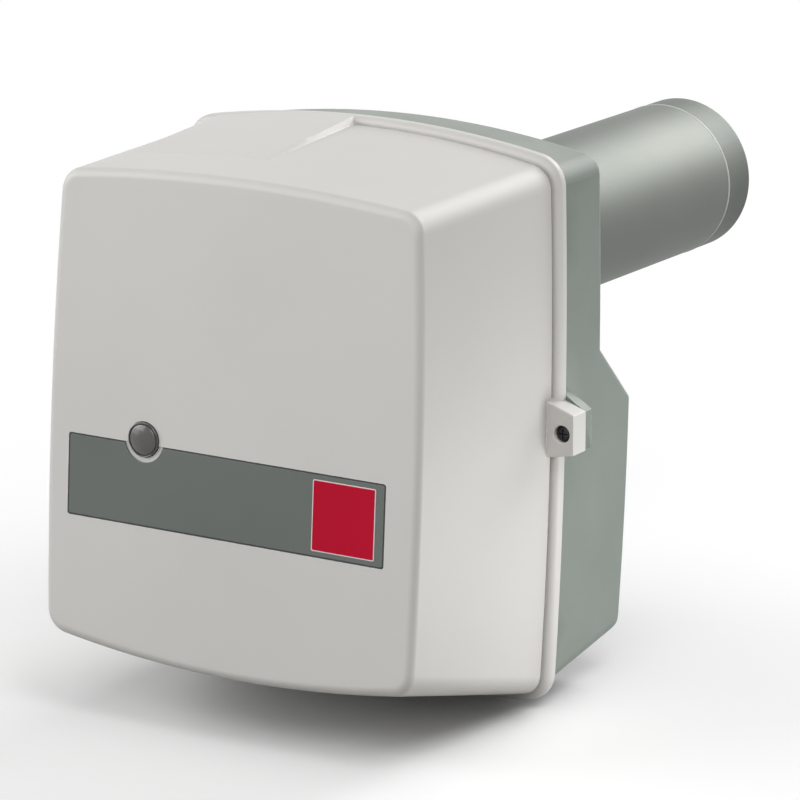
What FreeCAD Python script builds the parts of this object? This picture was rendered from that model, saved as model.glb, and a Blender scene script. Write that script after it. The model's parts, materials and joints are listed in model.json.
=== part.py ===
import FreeCAD, Part
import math
import os

V = FreeCAD.Vector
os.makedirs("parts", exist_ok=True)

# Small light-oil burner with a moulded hood, a cast casing and a steel blast tube.
# All sizes are in millimetres. The origin is on the blast tube's axis, in the rear face of the
# upper casing. +Y runs along the tube into the boiler, +X is right seen from the front, +Z is up.

# Fits and clearances
seat_gap = 0.3
round_fit = 0.05
running_fit = 0.08
screw_gap = 0.2
thread_gap = 0.1
small_screw_r = 2.0

# Longer than the burner, for shapes that cut right through
far = 300.0

# Blast tube
tube_r = 45.0
tube_wall = 2.0
tube_length = 271.4
seam_width = 0.8
ring_length = 26.0
ring_lip_r = 36.0
ring_lip = 4.0
spigot_step = 4.0
spigot_wall = 2.5
spigot_length = 12.0
clamp_r = 52.0
clamp_thick = 6.0
clamp_screw_r = 2.4
clamp_pitch_r = 47.0
clamp_screw_angles = (40, 140, 220, 320)
clamp_rib = 2.4
joint_length = 10.0

# Outline of the hood and casing where they meet
rear_half_top = 114.0
rear_half_bottom = 109.3
rear_side_bow = 3.5
rear_top = 75.2
rear_top_bow = 11.8
rear_bottom = -213.5
rear_bottom_bow = 6.0
corner_r = 13.0

# Hood
hood_wall = 3.0
face_y = -185.7
face_lean = 3.7
face_mid_z = -50.0
face_half_top = 111.3
face_half_bottom = 115.5
face_side_bow = 3.0
face_top = 73.4
face_top_bow = 6.2
face_bottom = -174.5
face_bottom_bow = 10.0
face_edge_r = 4.5
edge_steps = 4
rim_width = 10.0
rim_proud = 4.0
rim_step = 0.5
groove_width = 1.6
groove_depth = 1.0

# Pad on the hood's top
pad_left = -98.0
pad_right = -8.0
pad_front_y = -136.0

# Casing
casing_wall = 4.0
casing_inset = 1.8
casing_flare = 2.4
casing_front_y = -44.0
bulge_depth = 33.0
shoulder_z = -31.0
foot_rise = 11.0
foot_chamfer = 12.0
casing_edge_r = 4.4

# Screw lugs on both sides of the hood
lug_out = 10.5
lug_z = -65.0
lug_reach = 7.2
lug_height = 23.0
lug_depth = 16.7
lug_roof = 7.0
ear_roof = 13.0
ear_depth = 7.0
lug_screw_r = 2.5
lug_head_r = 4.4
lug_head_depth = 4.0
lug_sink = 8.0

# Front plate that carries the motor and the controls
plate_thick = 4.0
plate_inset = 4.0
plate_screw_r = 2.4
plate_boss_r = 6.5
plate_boss_length = 16.0
plate_screw_rows = (58.2, -36.0, -158.0)

# Fan, inlet and air chambers
rotor_z = -112.0
fan_r = 58.0
fan_width = 30.0
fan_hub_wall = 7.0
fan_hub_length = 16.0
fan_front_y = -16.0
blade_count = 30
blade_depth = 12.0
blade_thick = 1.2
divider_y = -22.0
divider_thick = 2.0
inlet_r = 42.0
scroll_start_r = 64.0
scroll_end_r = 84.0
scroll_thick = 2.0
scroll_start = 35.0
scroll_steps = 12
bell_radius = 7.5
bell_thick = 1.5
shelf_z = -48.0

# Motor and rotor
shaft_r = 5.0
motor_r = 41.0
motor_wall = 3.0
motor_length = 54.0
stator_inset = 8.0
core_inset = 10.0
shield_length = 10.0
nose_length = 12.0
neck_length = 14.0
neck_r = 22.0
neck_wall = 6.0
spigot_r = 20.0
bearing_r = 13.0
bearing_width = 9.0
rotor_core_r = 26.0
coupling_r = 12.0
shaft_reach = 6.0
pump_shaft_r = 3.5

# Oil pump
pump_side = 52.0
pump_depth = 30.0
pump_cover = 8.0
port_r = 5.72
port_depth = 12.0
port_spacing = 26.0
port_boss = 3.0
port_wall = 3.0
cover_inset = 4.0
cover_screw_inset = 9.0
outlet_rise = 12.0
pipe_r = 3.0
coil_r = 14.0
coil_height = 28.0

# Controls
button_x = -54.0
button_z = -64.0
button_r = 9.5
button_travel = 3.0
control_left = -100.0
control_right = -26.0
control_bottom = -74.0
control_top = -18.0
control_base_y = -96.0
control_base_depth = 22.0
control_box_depth = 52.0
lockout_r = 6.0
lockout_proud = 8.0
lockout_sink = 12.0
bracket_thick = 1.5
bracket_rise = 34.0
base_slots = 5

# Ignition transformer
trafo_inset = 18.0
trafo_width = 68.0
trafo_bottom = 2.0
trafo_height = 52.0
trafo_depth = 70.0
trafo_foot = 3.0
trafo_foot_rise = 8.0
lead_rows = (22.0, 48.0)

# Combustion head
line_r = 7.0
line_bore = 3.0
line_front_y = -92.0
head_y = 236.0
holder_r = 11.0
holder_length = 22.0
disc_r = 37.0
disc_thick = 1.2
disc_hole_r = 14.0
disc_slots = 8
carrier_length = 6.0
electrode_clamp_length = 7.0
electrode_x = 12.0
electrode_z = 16.0
electrode_r = 5.0
electrode_length = 34.0
lead_r = 3.0
lead_bend = 10.0
pipe_bend = 12.0
nozzle_length = 13.0
carrier_reach = 26.0
bush_wall = 3.0
grommet_r = 6.0
head_screw_r = 3.0
yoke_ahead = 28.0
yoke_thick = 4.0
knob_ahead = 12.0
spider_behind = 24.0
spider_length = 10.0
pipe_out = 22.0
head_screw_z = -22.0

# Air damper
damper_z = -186.0
damper_r = 3.0
damper_inset = 20.0
damper_half = rear_half_top - damper_inset
damper_flap = 10.0
intake_half = 84.0
intake_width = 13.0
intake_slots = 3
intake_rib = 6.0
lever_length = 34.0
scale_thick = 1.5

# Parts of the photocell, the gland and the front strip
cell_x = -36.0
cell_z = 34.0
cell_r = 8.0
cell_reach = 24.0
cell_lead_ahead = 14.0
cell_lead_side = 6.0
cell_lead_drop = 8.0
gland_x = -78.0
gland_bore = 4.5
gland_length = 24.0
angle_half = 15.0
angle_reach = 14.0
angle_rise = 24.0
capacitor_r = 14.0
capacitor_length = 56.0
capacitor_inset = 40.0
capacitor_z = -128.0
strip_left = -102.4
strip_right = 96.9
strip_top = -66.3
strip_bottom = -111.0
strip_depth = 0.8
badge_left = 52.5
badge_right = 91.0
badge_margin = 3.4
trim_gap = 0.1

# Reset button and the ways into the hood
button_proud = 3.2
button_flange = 1.6
flange_gap = 1.2
retainer_thick = 1.5
pin_r = 5.0
sleeve_r = 13.0
spring_r = 10.5
spring_wire = 0.6
spring_turns = 3
spring_steps = 12
hose_half = 34.0
notch_half = 16.0
gland_y = -66.0
gland_low_z = -190.0
notch_gap = 4.0

# Values that follow from the ones above
hood_rear_y = casing_front_y - seat_gap
lug_x = rear_half_top + lug_out
trafo_left = rear_half_top - trafo_inset - trafo_width
capacitor_x = rear_half_top - capacitor_inset
rim_front_y = hood_rear_y - rim_width
plate_y = casing_front_y - plate_thick
chamber_y = (casing_front_y + divider_y) / 2
motor_back_y = plate_y - shield_length
motor_front_y = motor_back_y - motor_length
nose_y = motor_front_y - nose_length
pump_back_y = nose_y - neck_length
pump_front_y = pump_back_y - pump_depth
pump_mid_y = (pump_back_y + pump_front_y) / 2
pump_low_z = rotor_z - pump_side / 2
pump_high_z = rotor_z + pump_side / 2
control_front_y = control_base_y - control_base_depth - control_box_depth
lockout_front_y = control_front_y - lockout_proud
tube_inner_r = tube_r - tube_wall
lean = math.radians(face_lean)
spigot_out_r = tube_r - spigot_step
spigot_in_r = spigot_out_r - spigot_wall
lug_front_y = hood_rear_y - lug_depth
fan_back_y = fan_front_y + fan_width
shaft_back_y = fan_back_y + 3
retainer_y = control_front_y - 3.5

hood_rear = (
    rear_half_top, rear_half_bottom, rear_side_bow, rear_top, rear_top_bow, rear_bottom, rear_bottom_bow
)
hood_face = (
    face_half_top, face_half_bottom, face_side_bow, face_top, face_top_bow, face_bottom, face_bottom_bow
)


def save(node, shape):
    shape.exportStep("parts/" + node + ".step")


def group(shapes):
    return Part.makeCompound(shapes)


def box(x0, x1, y0, y1, z0, z1):
    return Part.makeBox(x1 - x0, y1 - y0, z1 - z0, V(x0, y0, z0))


def rod(radius, y0, y1, x=0.0, z=0.0):
    return Part.makeCylinder(radius, y1 - y0, V(x, y0, z), V(0, 1, 0))


def cone(r0, r1, y0, y1, x=0.0, z=0.0):
    return Part.makeCone(r0, r1, y1 - y0, V(x, y0, z), V(0, 1, 0))


def sleeve(outer, inner, y0, y1, x=0.0, z=0.0):
    return rod(outer, y0, y1, x, z).cut(rod(inner, y0, y1, x, z))


def cap_screw(radius, seat_y, tip_y, x, z):
    # socket-head screw: the head stands in front of its seat, the shank runs back to the tip
    head_y = seat_y - 1.6 * radius
    screw = rod(radius, seat_y, tip_y, x, z).fuse(rod(1.8 * radius, head_y, seat_y, x, z))
    return screw.cut(hexagon(0.95 * radius, head_y - 1, seat_y - 0.6 * radius, x, z))


def rod_x(radius, x0, x1, y, z):
    return Part.makeCylinder(radius, x1 - x0, V(x0, y, z), V(1, 0, 0))


def rod_z(radius, z0, z1, x, y):
    return Part.makeCylinder(radius, z1 - z0, V(x, y, z0), V(0, 0, 1))


def hexagon(radius, y0, y1, x=0.0, z=0.0):
    corners = [
        V(x + radius * math.cos(math.radians(60 * i)), y0, z + radius * math.sin(math.radians(60 * i)))
        for i in range(7)
    ]
    return Part.Face(Part.makePolygon(corners)).extrude(V(0, y1 - y0, 0))


def prism_x(points, x0, x1):
    # a side profile of (y, z) points, drawn out along X
    corners = [V(x0, y, z) for y, z in points]
    return Part.Face(Part.makePolygon(corners + corners[:1])).extrude(V(x1 - x0, 0, 0))


def prism_y(points, y0, y1):
    # a front profile of (x, z) points, drawn out along Y
    corners = [V(x, y0, z) for x, z in points]
    return Part.Face(Part.makePolygon(corners + corners[:1])).extrude(V(0, y1 - y0, 0))


def toward(start, end, reach):
    # the point at a distance from start, on the way to end
    step = end.sub(start)
    return start.add(step.multiply(reach / step.Length))


def section(size, grow, radius, depth):
    # four bowed sides joined by corner arcs; grow pushes each side out, depth gives Y for a height
    half_top, half_bottom, side_bow, top, top_bow, bottom, bottom_bow = size
    a = half_top + grow
    b = half_bottom + grow
    t = top + grow
    u = bottom - grow
    side = (a + b) / 2 + side_bow
    corners = [V(-a, 0, t), V(a, 0, t), V(b, 0, u), V(-b, 0, u)]
    middles = [
        V(0, 0, t + top_bow), V(side, 0, (t + u) / 2), V(0, 0, u - bottom_bow), V(-side, 0, (t + u) / 2)
    ]
    sides = [Part.Arc(corners[i], middles[i], corners[(i + 1) % 4]).toShape().Curve for i in range(4)]
    joins = []
    for i in range(4):
        before, after = sides[i - 1], sides[i]
        paths = [Part.Circle(arc.Center, V(0, 1, 0), arc.Radius - radius) for arc in (before, after)]
        crossings = [V(p.X, p.Y, p.Z) for p in paths[0].intersect(paths[1])]
        centre = min(crossings, key=lambda p: p.distanceToPoint(corners[i]))
        joins.append([
            toward(before.Center, centre, before.Radius),
            toward(centre, corners[i], radius),
            toward(after.Center, centre, after.Radius),
        ])
    arcs = []
    for i in range(4):
        arcs.append(joins[i])
        arcs.append([joins[i][2], middles[i], joins[(i + 1) % 4][0]])
    return Part.Wire([Part.Arc(*[V(p.x, depth(p.z), p.z) for p in arc]).toShape() for arc in arcs])


def long_edges(shape):
    reach = 0.7 * shape.BoundBox.YLength
    return [e for e in shape.Edges if e.BoundBox.YLength > reach]


def band(size, grow, y0, y1, radius):
    # a straight block with the outline of one section
    return Part.makeLoft([section(size, grow, radius, flat(y)) for y in (y0, y1)], True, True)


def face_depth(z):
    return face_y + math.tan(lean) * (z - face_mid_z)


def flat(y):
    return lambda z: y


def pipe(points, radius, bend):
    # straight runs joined by arcs that are tangent to both
    runs = []
    here = V(*points[0])
    for i in range(1, len(points) - 1):
        spot = V(*points[i])
        back = V(*points[i - 1]).sub(spot)
        ahead = V(*points[i + 1]).sub(spot)
        turn = math.pi - back.getAngle(ahead)
        room = 0.45 * min(back.Length, ahead.Length) / math.tan(turn / 2)
        arc_r = min(bend, room)
        cut = arc_r * math.tan(turn / 2)
        start = toward(spot, V(*points[i - 1]), cut)
        end = toward(spot, V(*points[i + 1]), cut)
        centre = toward(spot, start.add(end).multiply(0.5), arc_r / math.cos(turn / 2))
        runs.append(Part.makeCylinder(radius, start.distanceToPoint(here), here, start.sub(here)))
        disc = Part.Face(Part.Wire(Part.makeCircle(radius, start, start.sub(here))))
        axis = start.sub(centre).cross(end.sub(centre))
        runs.append(disc.revolve(centre, axis, math.degrees(turn)))
        here = end
    last = V(*points[-1])
    runs.append(Part.makeCylinder(radius, last.distanceToPoint(here), here, last.sub(here)))
    return runs[0].fuse(runs[1:]).removeSplitter()


def hood_top(x, y):
    # height of the hood's top at a place, between the face and the rear outline
    share = min(1, (y - face_y) / (rim_front_y - face_y))
    ends = []
    for half, top, bow in (
        (face_half_top, face_top, face_top_bow), (rear_half_top, rear_top, rear_top_bow)
    ):
        ends.append(top + bow * (1 - (x / half) ** 2))
    return ends[0] + share * (ends[1] - ends[0])


# Hood

def pad_section(y, lift):
    low = hood_top(pad_left, y) - hood_wall
    mid_x = (pad_left + pad_right) / 2
    a = V(pad_left, y, hood_top(pad_left, y) + lift)
    b = V(mid_x, y, hood_top(mid_x, y) + lift)
    c = V(pad_right, y, hood_top(pad_right, y) + lift)
    left = V(pad_left, y, low + 1)
    right = V(pad_right, y, hood_top(pad_right, y) - hood_wall + 1)
    edges = [Part.Arc(a, b, c).toShape()]
    for p, q in ((c, right), (right, left), (left, a)):
        edges.append(Part.LineSegment(p, q).toShape())
    return Part.Wire(edges)


def make_lug():
    # right-hand lug: a block with a sloped roof, open to the hood's side
    root_x = rear_half_top - hood_wall
    tip = lug_x + lug_reach
    top = lug_z + lug_height / 2
    low = lug_z - lug_height / 2
    profile = [(root_x, top + lug_roof), (tip, top), (tip, low), (root_x, low - lug_roof / 2)]
    lug = prism_y(profile, lug_front_y, hood_rear_y)
    return lug.makeChamfer(1.0, [e for e in lug.Edges if e.BoundBox.XMin > tip - 0.1])


def make_ear():
    # casing ear behind the lug, which takes the hood's screw
    root_x = rear_half_top - casing_inset - casing_wall / 2
    tip = lug_x + lug_reach - 1
    top = lug_z + lug_height / 2 - 1
    low = lug_z - lug_height / 2 + 1
    profile = [(root_x, top + ear_roof), (tip, top), (tip, low), (root_x, low - lug_roof / 2)]
    return prism_y(profile, casing_front_y, casing_front_y + ear_depth)


def mirrored(shape):
    return shape.mirror(V(0, 0, 0), V(1, 0, 0))


def hood_form(grow, edge_r, depth):
    # sections from the face back to the rim; the first few round the face's edge
    wires = []
    for step in range(edge_steps + 1):
        turn = math.radians(90 * step / edge_steps)
        inset = edge_r * (1 - math.sin(turn))
        share = edge_r * (1 - math.cos(turn)) / (rim_front_y - face_y)
        size = [a + share * (b - a) for a, b in zip(hood_face, hood_rear)]
        level = lambda z: depth(z) + share * (rim_front_y - depth(z))
        wires.append(section(size, grow - inset, corner_r + grow - inset, level))
    wires.append(section(hood_rear, grow, corner_r + grow, flat(rim_front_y)))
    return Part.makeLoft(wires, True, True)


def make_hood():
    outer = hood_form(0, face_edge_r, face_depth)
    rim = band(hood_rear, rim_proud, rim_front_y, hood_rear_y, corner_r + rim_proud)
    trench = band(hood_rear, 10, rim_front_y - groove_width, rim_front_y, corner_r)
    trench = trench.cut(
        band(hood_rear, -groove_depth, rim_front_y - groove_width - 1, rim_front_y + 1, corner_r)
    )
    shell = outer.cut(trench).fuse(rim)
    pad = Part.makeLoft([pad_section(pad_front_y, -0.2), pad_section(hood_rear_y, rim_proud)], True, True)
    lug = make_lug()
    return shell.fuse([pad, lug, mirrored(lug)])


def hood_cavity():
    inner = hood_form(-hood_wall, face_edge_r - hood_wall, lambda z: face_depth(z) + hood_wall)
    seat = rim_step - hood_wall
    return inner.fuse(band(hood_rear, seat, rim_front_y, hood_rear_y + 1, corner_r + seat))


def make_hood_openings():
    # a slot under the pump for the oil hoses, a notch at the rear for the cables
    slot_y = (pump_mid_y - hose_half / 2, pump_mid_y + hose_half / 2)
    hose_slot = box(-hose_half, hose_half, *slot_y, -far, pump_low_z)
    notch_x = (gland_x - notch_half, gland_x + notch_half)
    notch = box(*notch_x, gland_y - notch_half, 0, -far, gland_low_z - notch_gap)
    return [hose_slot, notch]


def button_sleeve():
    # guide behind the face for the reset button
    return sleeve(sleeve_r + hood_wall, sleeve_r, face_y - 2, retainer_y, button_x, button_z)


def lug_hole():
    hole = rod(lug_screw_r + screw_gap, lug_front_y - 1, hood_rear_y + 1, lug_x, lug_z)
    return hole.fuse(rod(lug_head_r + screw_gap, lug_front_y - 1, lug_front_y + lug_sink, lug_x, lug_z))


def on_face(shape):
    # shapes for the face are made upright at its middle height, then leaned back with it
    return shape.rotate(V(0, face_y, face_mid_z), V(1, 0, 0), -face_lean)


def strip_pocket(grow, depth):
    low = strip_bottom - grow
    return on_face(
        box(strip_left - grow, strip_right + grow, face_y - 1, face_y + depth, low, strip_top + grow)
    )


cavity = hood_cavity()
hood = make_hood().cut(cavity)
sleeve_out_r = sleeve_r + hood_wall
face_mid_y = face_depth(button_z) + hood_wall / 2
face_trim = rod(sleeve_out_r + 1, face_y - 9, face_mid_y, button_x, button_z)
hood = hood.fuse(button_sleeve().cut(face_trim))
hood = hood.cut(rod(button_r + seat_gap, face_y - 9, face_y + 5, button_x, button_z))
hood = hood.cut(make_hood_openings() + [lug_hole(), mirrored(lug_hole()), strip_pocket(0, strip_depth)])
save("hood", hood)

badge_low = strip_bottom + badge_margin
badge_high = strip_top - badge_margin
strip_ends = (strip_left + trim_gap, strip_right - trim_gap)
strip = box(*strip_ends, face_y, face_y + strip_depth, strip_bottom + trim_gap, strip_top - trim_gap)
strip = on_face(strip)
strip = strip.cut(rod(button_r + seat_gap + 2.5, face_y - 9, face_y + 5, button_x, button_z))
badge_seat = on_face(
    box(badge_left, badge_right, face_y - 1, face_y + strip_depth / 2, badge_low, badge_high)
)
strip = strip.cut(badge_seat)
save("front_strip", strip)
badge_ends = (badge_left + trim_gap, badge_right - trim_gap)
badge_face_y = face_y - strip_depth / 2
badge = box(
    *badge_ends, badge_face_y, face_y + strip_depth / 2, badge_low + trim_gap, badge_high - trim_gap
)
badge = on_face(badge)
save("badge_tile", badge)

button_face_y = face_depth(button_z)
flange_y = button_face_y + hood_wall + flange_gap
flange_back_y = flange_y + button_flange
button = rod(button_r, button_face_y - button_proud, flange_y, button_x, button_z)
button = button.makeFillet(
    2.2, [e for e in button.Edges if e.BoundBox.YMax < button_face_y - button_proud + 0.1]
)
button = button.fuse(rod(sleeve_r - 1, flange_y, flange_back_y, button_x, button_z))
button = button.fuse(rod(pin_r, flange_back_y, lockout_front_y - seat_gap, button_x, button_z))
save("reset_button", button)

retainer_hole_r = pin_r + 2.5
retainer_back_y = retainer_y + retainer_thick
retainer = sleeve(sleeve_r + hood_wall, retainer_hole_r, retainer_y, retainer_back_y, button_x, button_z)
save("button_retainer", retainer)

spring_y = flange_back_y + seat_gap
spring_length = retainer_y - seat_gap - spring_y
coil_length = spring_length - 2 * spring_wire
rings = []
for i in range(spring_turns * spring_steps + 1):
    turn = 360 * i / spring_steps
    rise = spring_y + spring_wire + coil_length * i / (spring_turns * spring_steps)
    corners = [math.radians(72 * k) for k in range(6)]
    ring = Part.makePolygon(
        [V(spring_r + spring_wire * math.cos(k), spring_wire * math.sin(k), 0) for k in corners]
    )
    ring = ring.rotate(V(0, 0, 0), V(0, 1, 0), turn)
    rings.append(ring.translate(V(button_x, rise, button_z)))
spring = Part.makeLoft(rings, True, True)
save("button_spring", spring)


def hood_screw():
    seat_y = lug_front_y + lug_sink
    screw = rod(lug_screw_r, seat_y, casing_front_y + ear_depth - 1, lug_x, lug_z)
    head = rod(lug_head_r, seat_y - lug_head_depth, seat_y, lug_x, lug_z)
    slot = box(lug_x - 5, lug_x + 5, lug_front_y, seat_y - 2.8, lug_z - 0.5, lug_z + 0.5)
    return screw.fuse(head).cut(slot)


save("hood_screws", group([hood_screw(), mirrored(hood_screw())]))


# Casing: bowed outline, a flat rear for the tube and a deeper bulge for the fan below it

def raised(size, rise):
    return size[:5] + (size[5] + rise, size[6])


def rear_profile(inset):
    # side view of the casing's rear, moved in by the wall
    foot_z = rear_bottom + foot_rise
    bulge_y = bulge_depth - inset
    slope = inset * math.tan(math.radians(22.5))
    return [
        (-far, far),
        (-inset, far),
        (-inset, shoulder_z - slope),
        (bulge_y, shoulder_z - bulge_depth - slope),
        (bulge_y, foot_z + foot_chamfer),
        (bulge_y - foot_chamfer, foot_z - 2),
        (bulge_y - foot_chamfer, -far),
        (-far, -far),
    ]


def casing_form(grow, radius, front_y, inset, flare=0):
    # the outside's flanks stand out by the flare past the hood's outline
    front = (hood_rear[0] + flare, hood_rear[1] + flare) + hood_rear[2:]
    back = raised(front, foot_rise + 4)
    wires = [
        section(front, grow, radius, flat(front_y)), section(back, grow, radius, flat(bulge_depth + 10))
    ]
    return Part.makeLoft(wires, True, True).common(prism_x(rear_profile(inset), -far, far))


casing_outer = casing_form(-casing_inset, corner_r - casing_inset, casing_front_y, 0, casing_flare)
foot_top = rear_bottom + foot_rise + foot_chamfer - 0.1
rear_edges = [e for e in casing_outer.Edges if e.BoundBox.YMin > -0.1 and e.BoundBox.ZMin > foot_top]
rear_edges = [e for e in rear_edges if e.BoundBox.ZLength > 0.1]
casing_outer = casing_outer.makeFillet(casing_edge_r, rear_edges)


def side_x(z, grow):
    # half width of the outline where casing and hood meet, at a height
    middle = (rear_top + rear_bottom) / 2
    reach = (rear_top - rear_bottom) / 2
    share = (rear_top - z) / (rear_top - rear_bottom)
    straight = rear_half_top + share * (rear_half_bottom - rear_half_top)
    return straight + rear_side_bow * (1 - ((z - middle) / reach) ** 2) + grow


wall_in = -casing_inset - casing_wall
room_fit = casing_form(wall_in - seat_gap, corner_r + wall_in, casing_front_y, casing_wall + seat_gap)
casing_room = casing_form(wall_in, corner_r + wall_in, casing_front_y - 1, casing_wall)
scoop_r = tube_r + 1
scoop = sleeve(scoop_r + casing_wall, scoop_r, -casing_wall, bulge_depth).common(casing_outer)
casing = casing_outer.cut(casing_room).fuse(scoop)

plate_screw_spots = []
for z in plate_screw_rows:
    x = side_x(z, wall_in) - plate_boss_r + 1.5
    plate_screw_spots += [(x, z), (-x, z)]
clamp_screw_spots = []
for turn in clamp_screw_angles:
    angle = math.radians(turn)
    clamp_screw_spots.append((clamp_pitch_r * math.cos(angle), clamp_pitch_r * math.sin(angle)))

boss_back_y = casing_front_y + plate_boss_length
bosses = [rod(plate_boss_r, casing_front_y, boss_back_y, x, z) for x, z in plate_screw_spots]
bearing_x = side_x(damper_z, wall_in) + 1
bosses += [rod_x(damper_r + 4, damper_half + 1.5, bearing_x, chamber_y, damper_z)]
bosses += [rod_x(damper_r + 4, -bearing_x, -damper_half - 1.5, chamber_y, damper_z)]
bosses = [boss.common(casing_outer) for boss in bosses]
ear = make_ear().cut(casing_room)
casing = casing.fuse(bosses + [ear, mirrored(ear)])

holes = [
    rod(plate_screw_r + thread_gap, casing_front_y - 1, boss_back_y - 3, x, z) for x, z in plate_screw_spots
]
holes += [rod(clamp_screw_r + thread_gap, -casing_wall - 1, -0.8, x, z) for x, z in clamp_screw_spots]
holes += [rod(spigot_out_r + seat_gap, -casing_wall - 1, 1), rod(scoop_r, 0, bulge_depth + 1)]
holes += [rod_x(damper_r + running_fit, -side_x(damper_z, 2), bearing_x - 2, chamber_y, damper_z)]
ear_back_y = casing_front_y + ear_depth
for side in (1, -1):
    holes.append(rod(lug_screw_r + thread_gap, casing_front_y - 1, ear_back_y + 1, side * lug_x, lug_z))
slot_y = (chamber_y - intake_width / 2, chamber_y + intake_width / 2)
slot_width = (2 * intake_half - (intake_slots - 1) * intake_rib) / intake_slots
for i in range(intake_slots):
    x = -intake_half + i * (slot_width + intake_rib)
    holes.append(box(x, x + slot_width, *slot_y, -far, rear_bottom + 12))
casing = casing.cut(holes)
save("casing", casing)


# Blast tube and its end ring

tube = sleeve(tube_r, tube_inner_r, 0, tube_length)
tube = tube.fuse(sleeve(tube_r, spigot_in_r, 0, spigot_wall))
tube = tube.fuse(sleeve(spigot_out_r, spigot_in_r, -spigot_length, spigot_wall))
clamp_mid_y = -casing_wall - clamp_thick / 2
groove_r = spigot_out_r - spigot_wall / 2
groove_half = clamp_rib / 2 + seat_gap
tube = tube.cut(sleeve(spigot_out_r + 1, groove_r, clamp_mid_y - groove_half, clamp_mid_y + groove_half))
save("blast_tube", tube)

ring_y = tube_length + seam_width
ring_end_y = tube_length + ring_length
ring = sleeve(tube_r, tube_inner_r, ring_y, ring_end_y)
seam = sleeve(tube_r, tube_inner_r - 1.5, tube_length, ring_y + 3)
ring = ring.fuse(seam.cut(sleeve(tube_r + 1, tube_r - 0.5, tube_length - 1, ring_y)))
ring = ring.fuse(
    sleeve(tube_inner_r - round_fit, tube_inner_r - 1.5, tube_length - joint_length, tube_length + 1)
)
lip = rod(tube_r - 0.5, ring_end_y - 3 * ring_lip, ring_end_y)
lip = lip.cut(cone(tube_inner_r, ring_lip_r, ring_end_y - 3 * ring_lip, ring_end_y - ring_lip))
lip = lip.cut(rod(ring_lip_r, ring_end_y - ring_lip - 1, ring_end_y + 1))
ring = ring.fuse(lip)
save("tube_end_ring", ring)

clamp_front_y = -casing_wall - clamp_thick
clamp = sleeve(clamp_r, spigot_out_r + seat_gap, clamp_front_y, -casing_wall)
rib_y = (clamp_mid_y - clamp_rib / 2, clamp_mid_y + clamp_rib / 2)
clamp = clamp.fuse(sleeve(spigot_out_r + 1, groove_r + seat_gap, *rib_y))
clamp = clamp.cut([rod(clamp_screw_r + screw_gap, -far, 0, x, z) for x, z in clamp_screw_spots])
clamp = clamp.cut(box(-0.5, 0.5, -far, 0, -far, far))
save("tube_clamp_halves", clamp)

cap_screws = [cap_screw(clamp_screw_r, clamp_front_y, -1.0, x, z) for x, z in clamp_screw_spots]


# Front plate

plate = band(hood_rear, -plate_inset, plate_y, casing_front_y, corner_r - plate_inset)
plate_holes = [
    rod(plate_screw_r + screw_gap, plate_y - 1, casing_front_y + 1, x, z) for x, z in plate_screw_spots
]
plate_holes.append(rod(spigot_r + seat_gap, plate_y - 1, casing_front_y + 1, 0, rotor_z))
plate_holes.append(rod(line_r + bush_wall + round_fit, plate_y - 1, casing_front_y + 1))
plate_holes.append(rod(head_screw_r + running_fit, plate_y - 1, casing_front_y + 1, 0, head_screw_z))
plate_holes.append(rod(cell_r - 2 + seat_gap, plate_y - 1, casing_front_y + 1, cell_x, cell_z))
for side in (1, -1):
    plate_holes.append(rod(grommet_r, plate_y - 1, casing_front_y + 1, side * electrode_x, electrode_z))
plate = plate.cut(plate_holes)
save("front_plate", plate)

cap_screws += [cap_screw(plate_screw_r, plate_y, boss_back_y - 4, x, z) for x, z in plate_screw_spots]
save("cap_screws", group(cap_screws))


# Air chamber: divider with a bell-mouthed inlet, scroll and fan

divider_back_y = divider_y + divider_thick
bell_r = inlet_r + bell_radius
divider = box(-far, far, divider_y, divider_back_y, -far, shelf_z)
shelf = box(-far, far, casing_front_y + seat_gap, divider_y, shelf_z - divider_thick, shelf_z)
divider = divider.fuse(shelf).common(room_fit)
divider = divider.cut(rod(bell_r, divider_y - 1, divider_back_y + 1, 0, rotor_z))


def bell_arc(radius, thick):
    # quarter arc from the plate's plane back into the fan's eye, as (r, y) points
    centre_y = divider_y + bell_radius
    reach = radius - thick
    angles = [math.radians(a) for a in (180, 225, 270)]
    return [V(bell_r + reach * math.cos(a), centre_y + reach * math.sin(a), 0) for a in angles]


outer_arc = bell_arc(bell_radius, 0)
inner_arc = bell_arc(bell_radius, bell_thick)
edges = [Part.Arc(*outer_arc).toShape(), Part.LineSegment(outer_arc[2], inner_arc[2]).toShape()]
edges += [Part.Arc(*inner_arc).toShape(), Part.LineSegment(inner_arc[0], outer_arc[0]).toShape()]
bell = Part.Face(Part.Wire(Part.__sortEdges__(edges))).revolve(V(0, 0, 0), V(0, 1, 0), 360)
bell = bell.translate(V(0, 0, rotor_z))
divider = divider.fuse(bell)
save("inlet_plate", divider)

scroll_points = []
for i in range(scroll_steps + 1):
    angle = math.radians(scroll_start - i * (scroll_start + 180) / scroll_steps)
    radius = scroll_start_r + (scroll_end_r - scroll_start_r) * i / scroll_steps
    scroll_points.append((radius, angle))


def scroll_curve(grow):
    points = []
    for r, angle in scroll_points:
        reach = r + grow
        points.append(V(reach * math.cos(angle), divider_back_y, rotor_z + reach * math.sin(angle)))
    curve = Part.BSplineCurve()
    curve.interpolate(points)
    return curve, points[0], points[-1]


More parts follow.
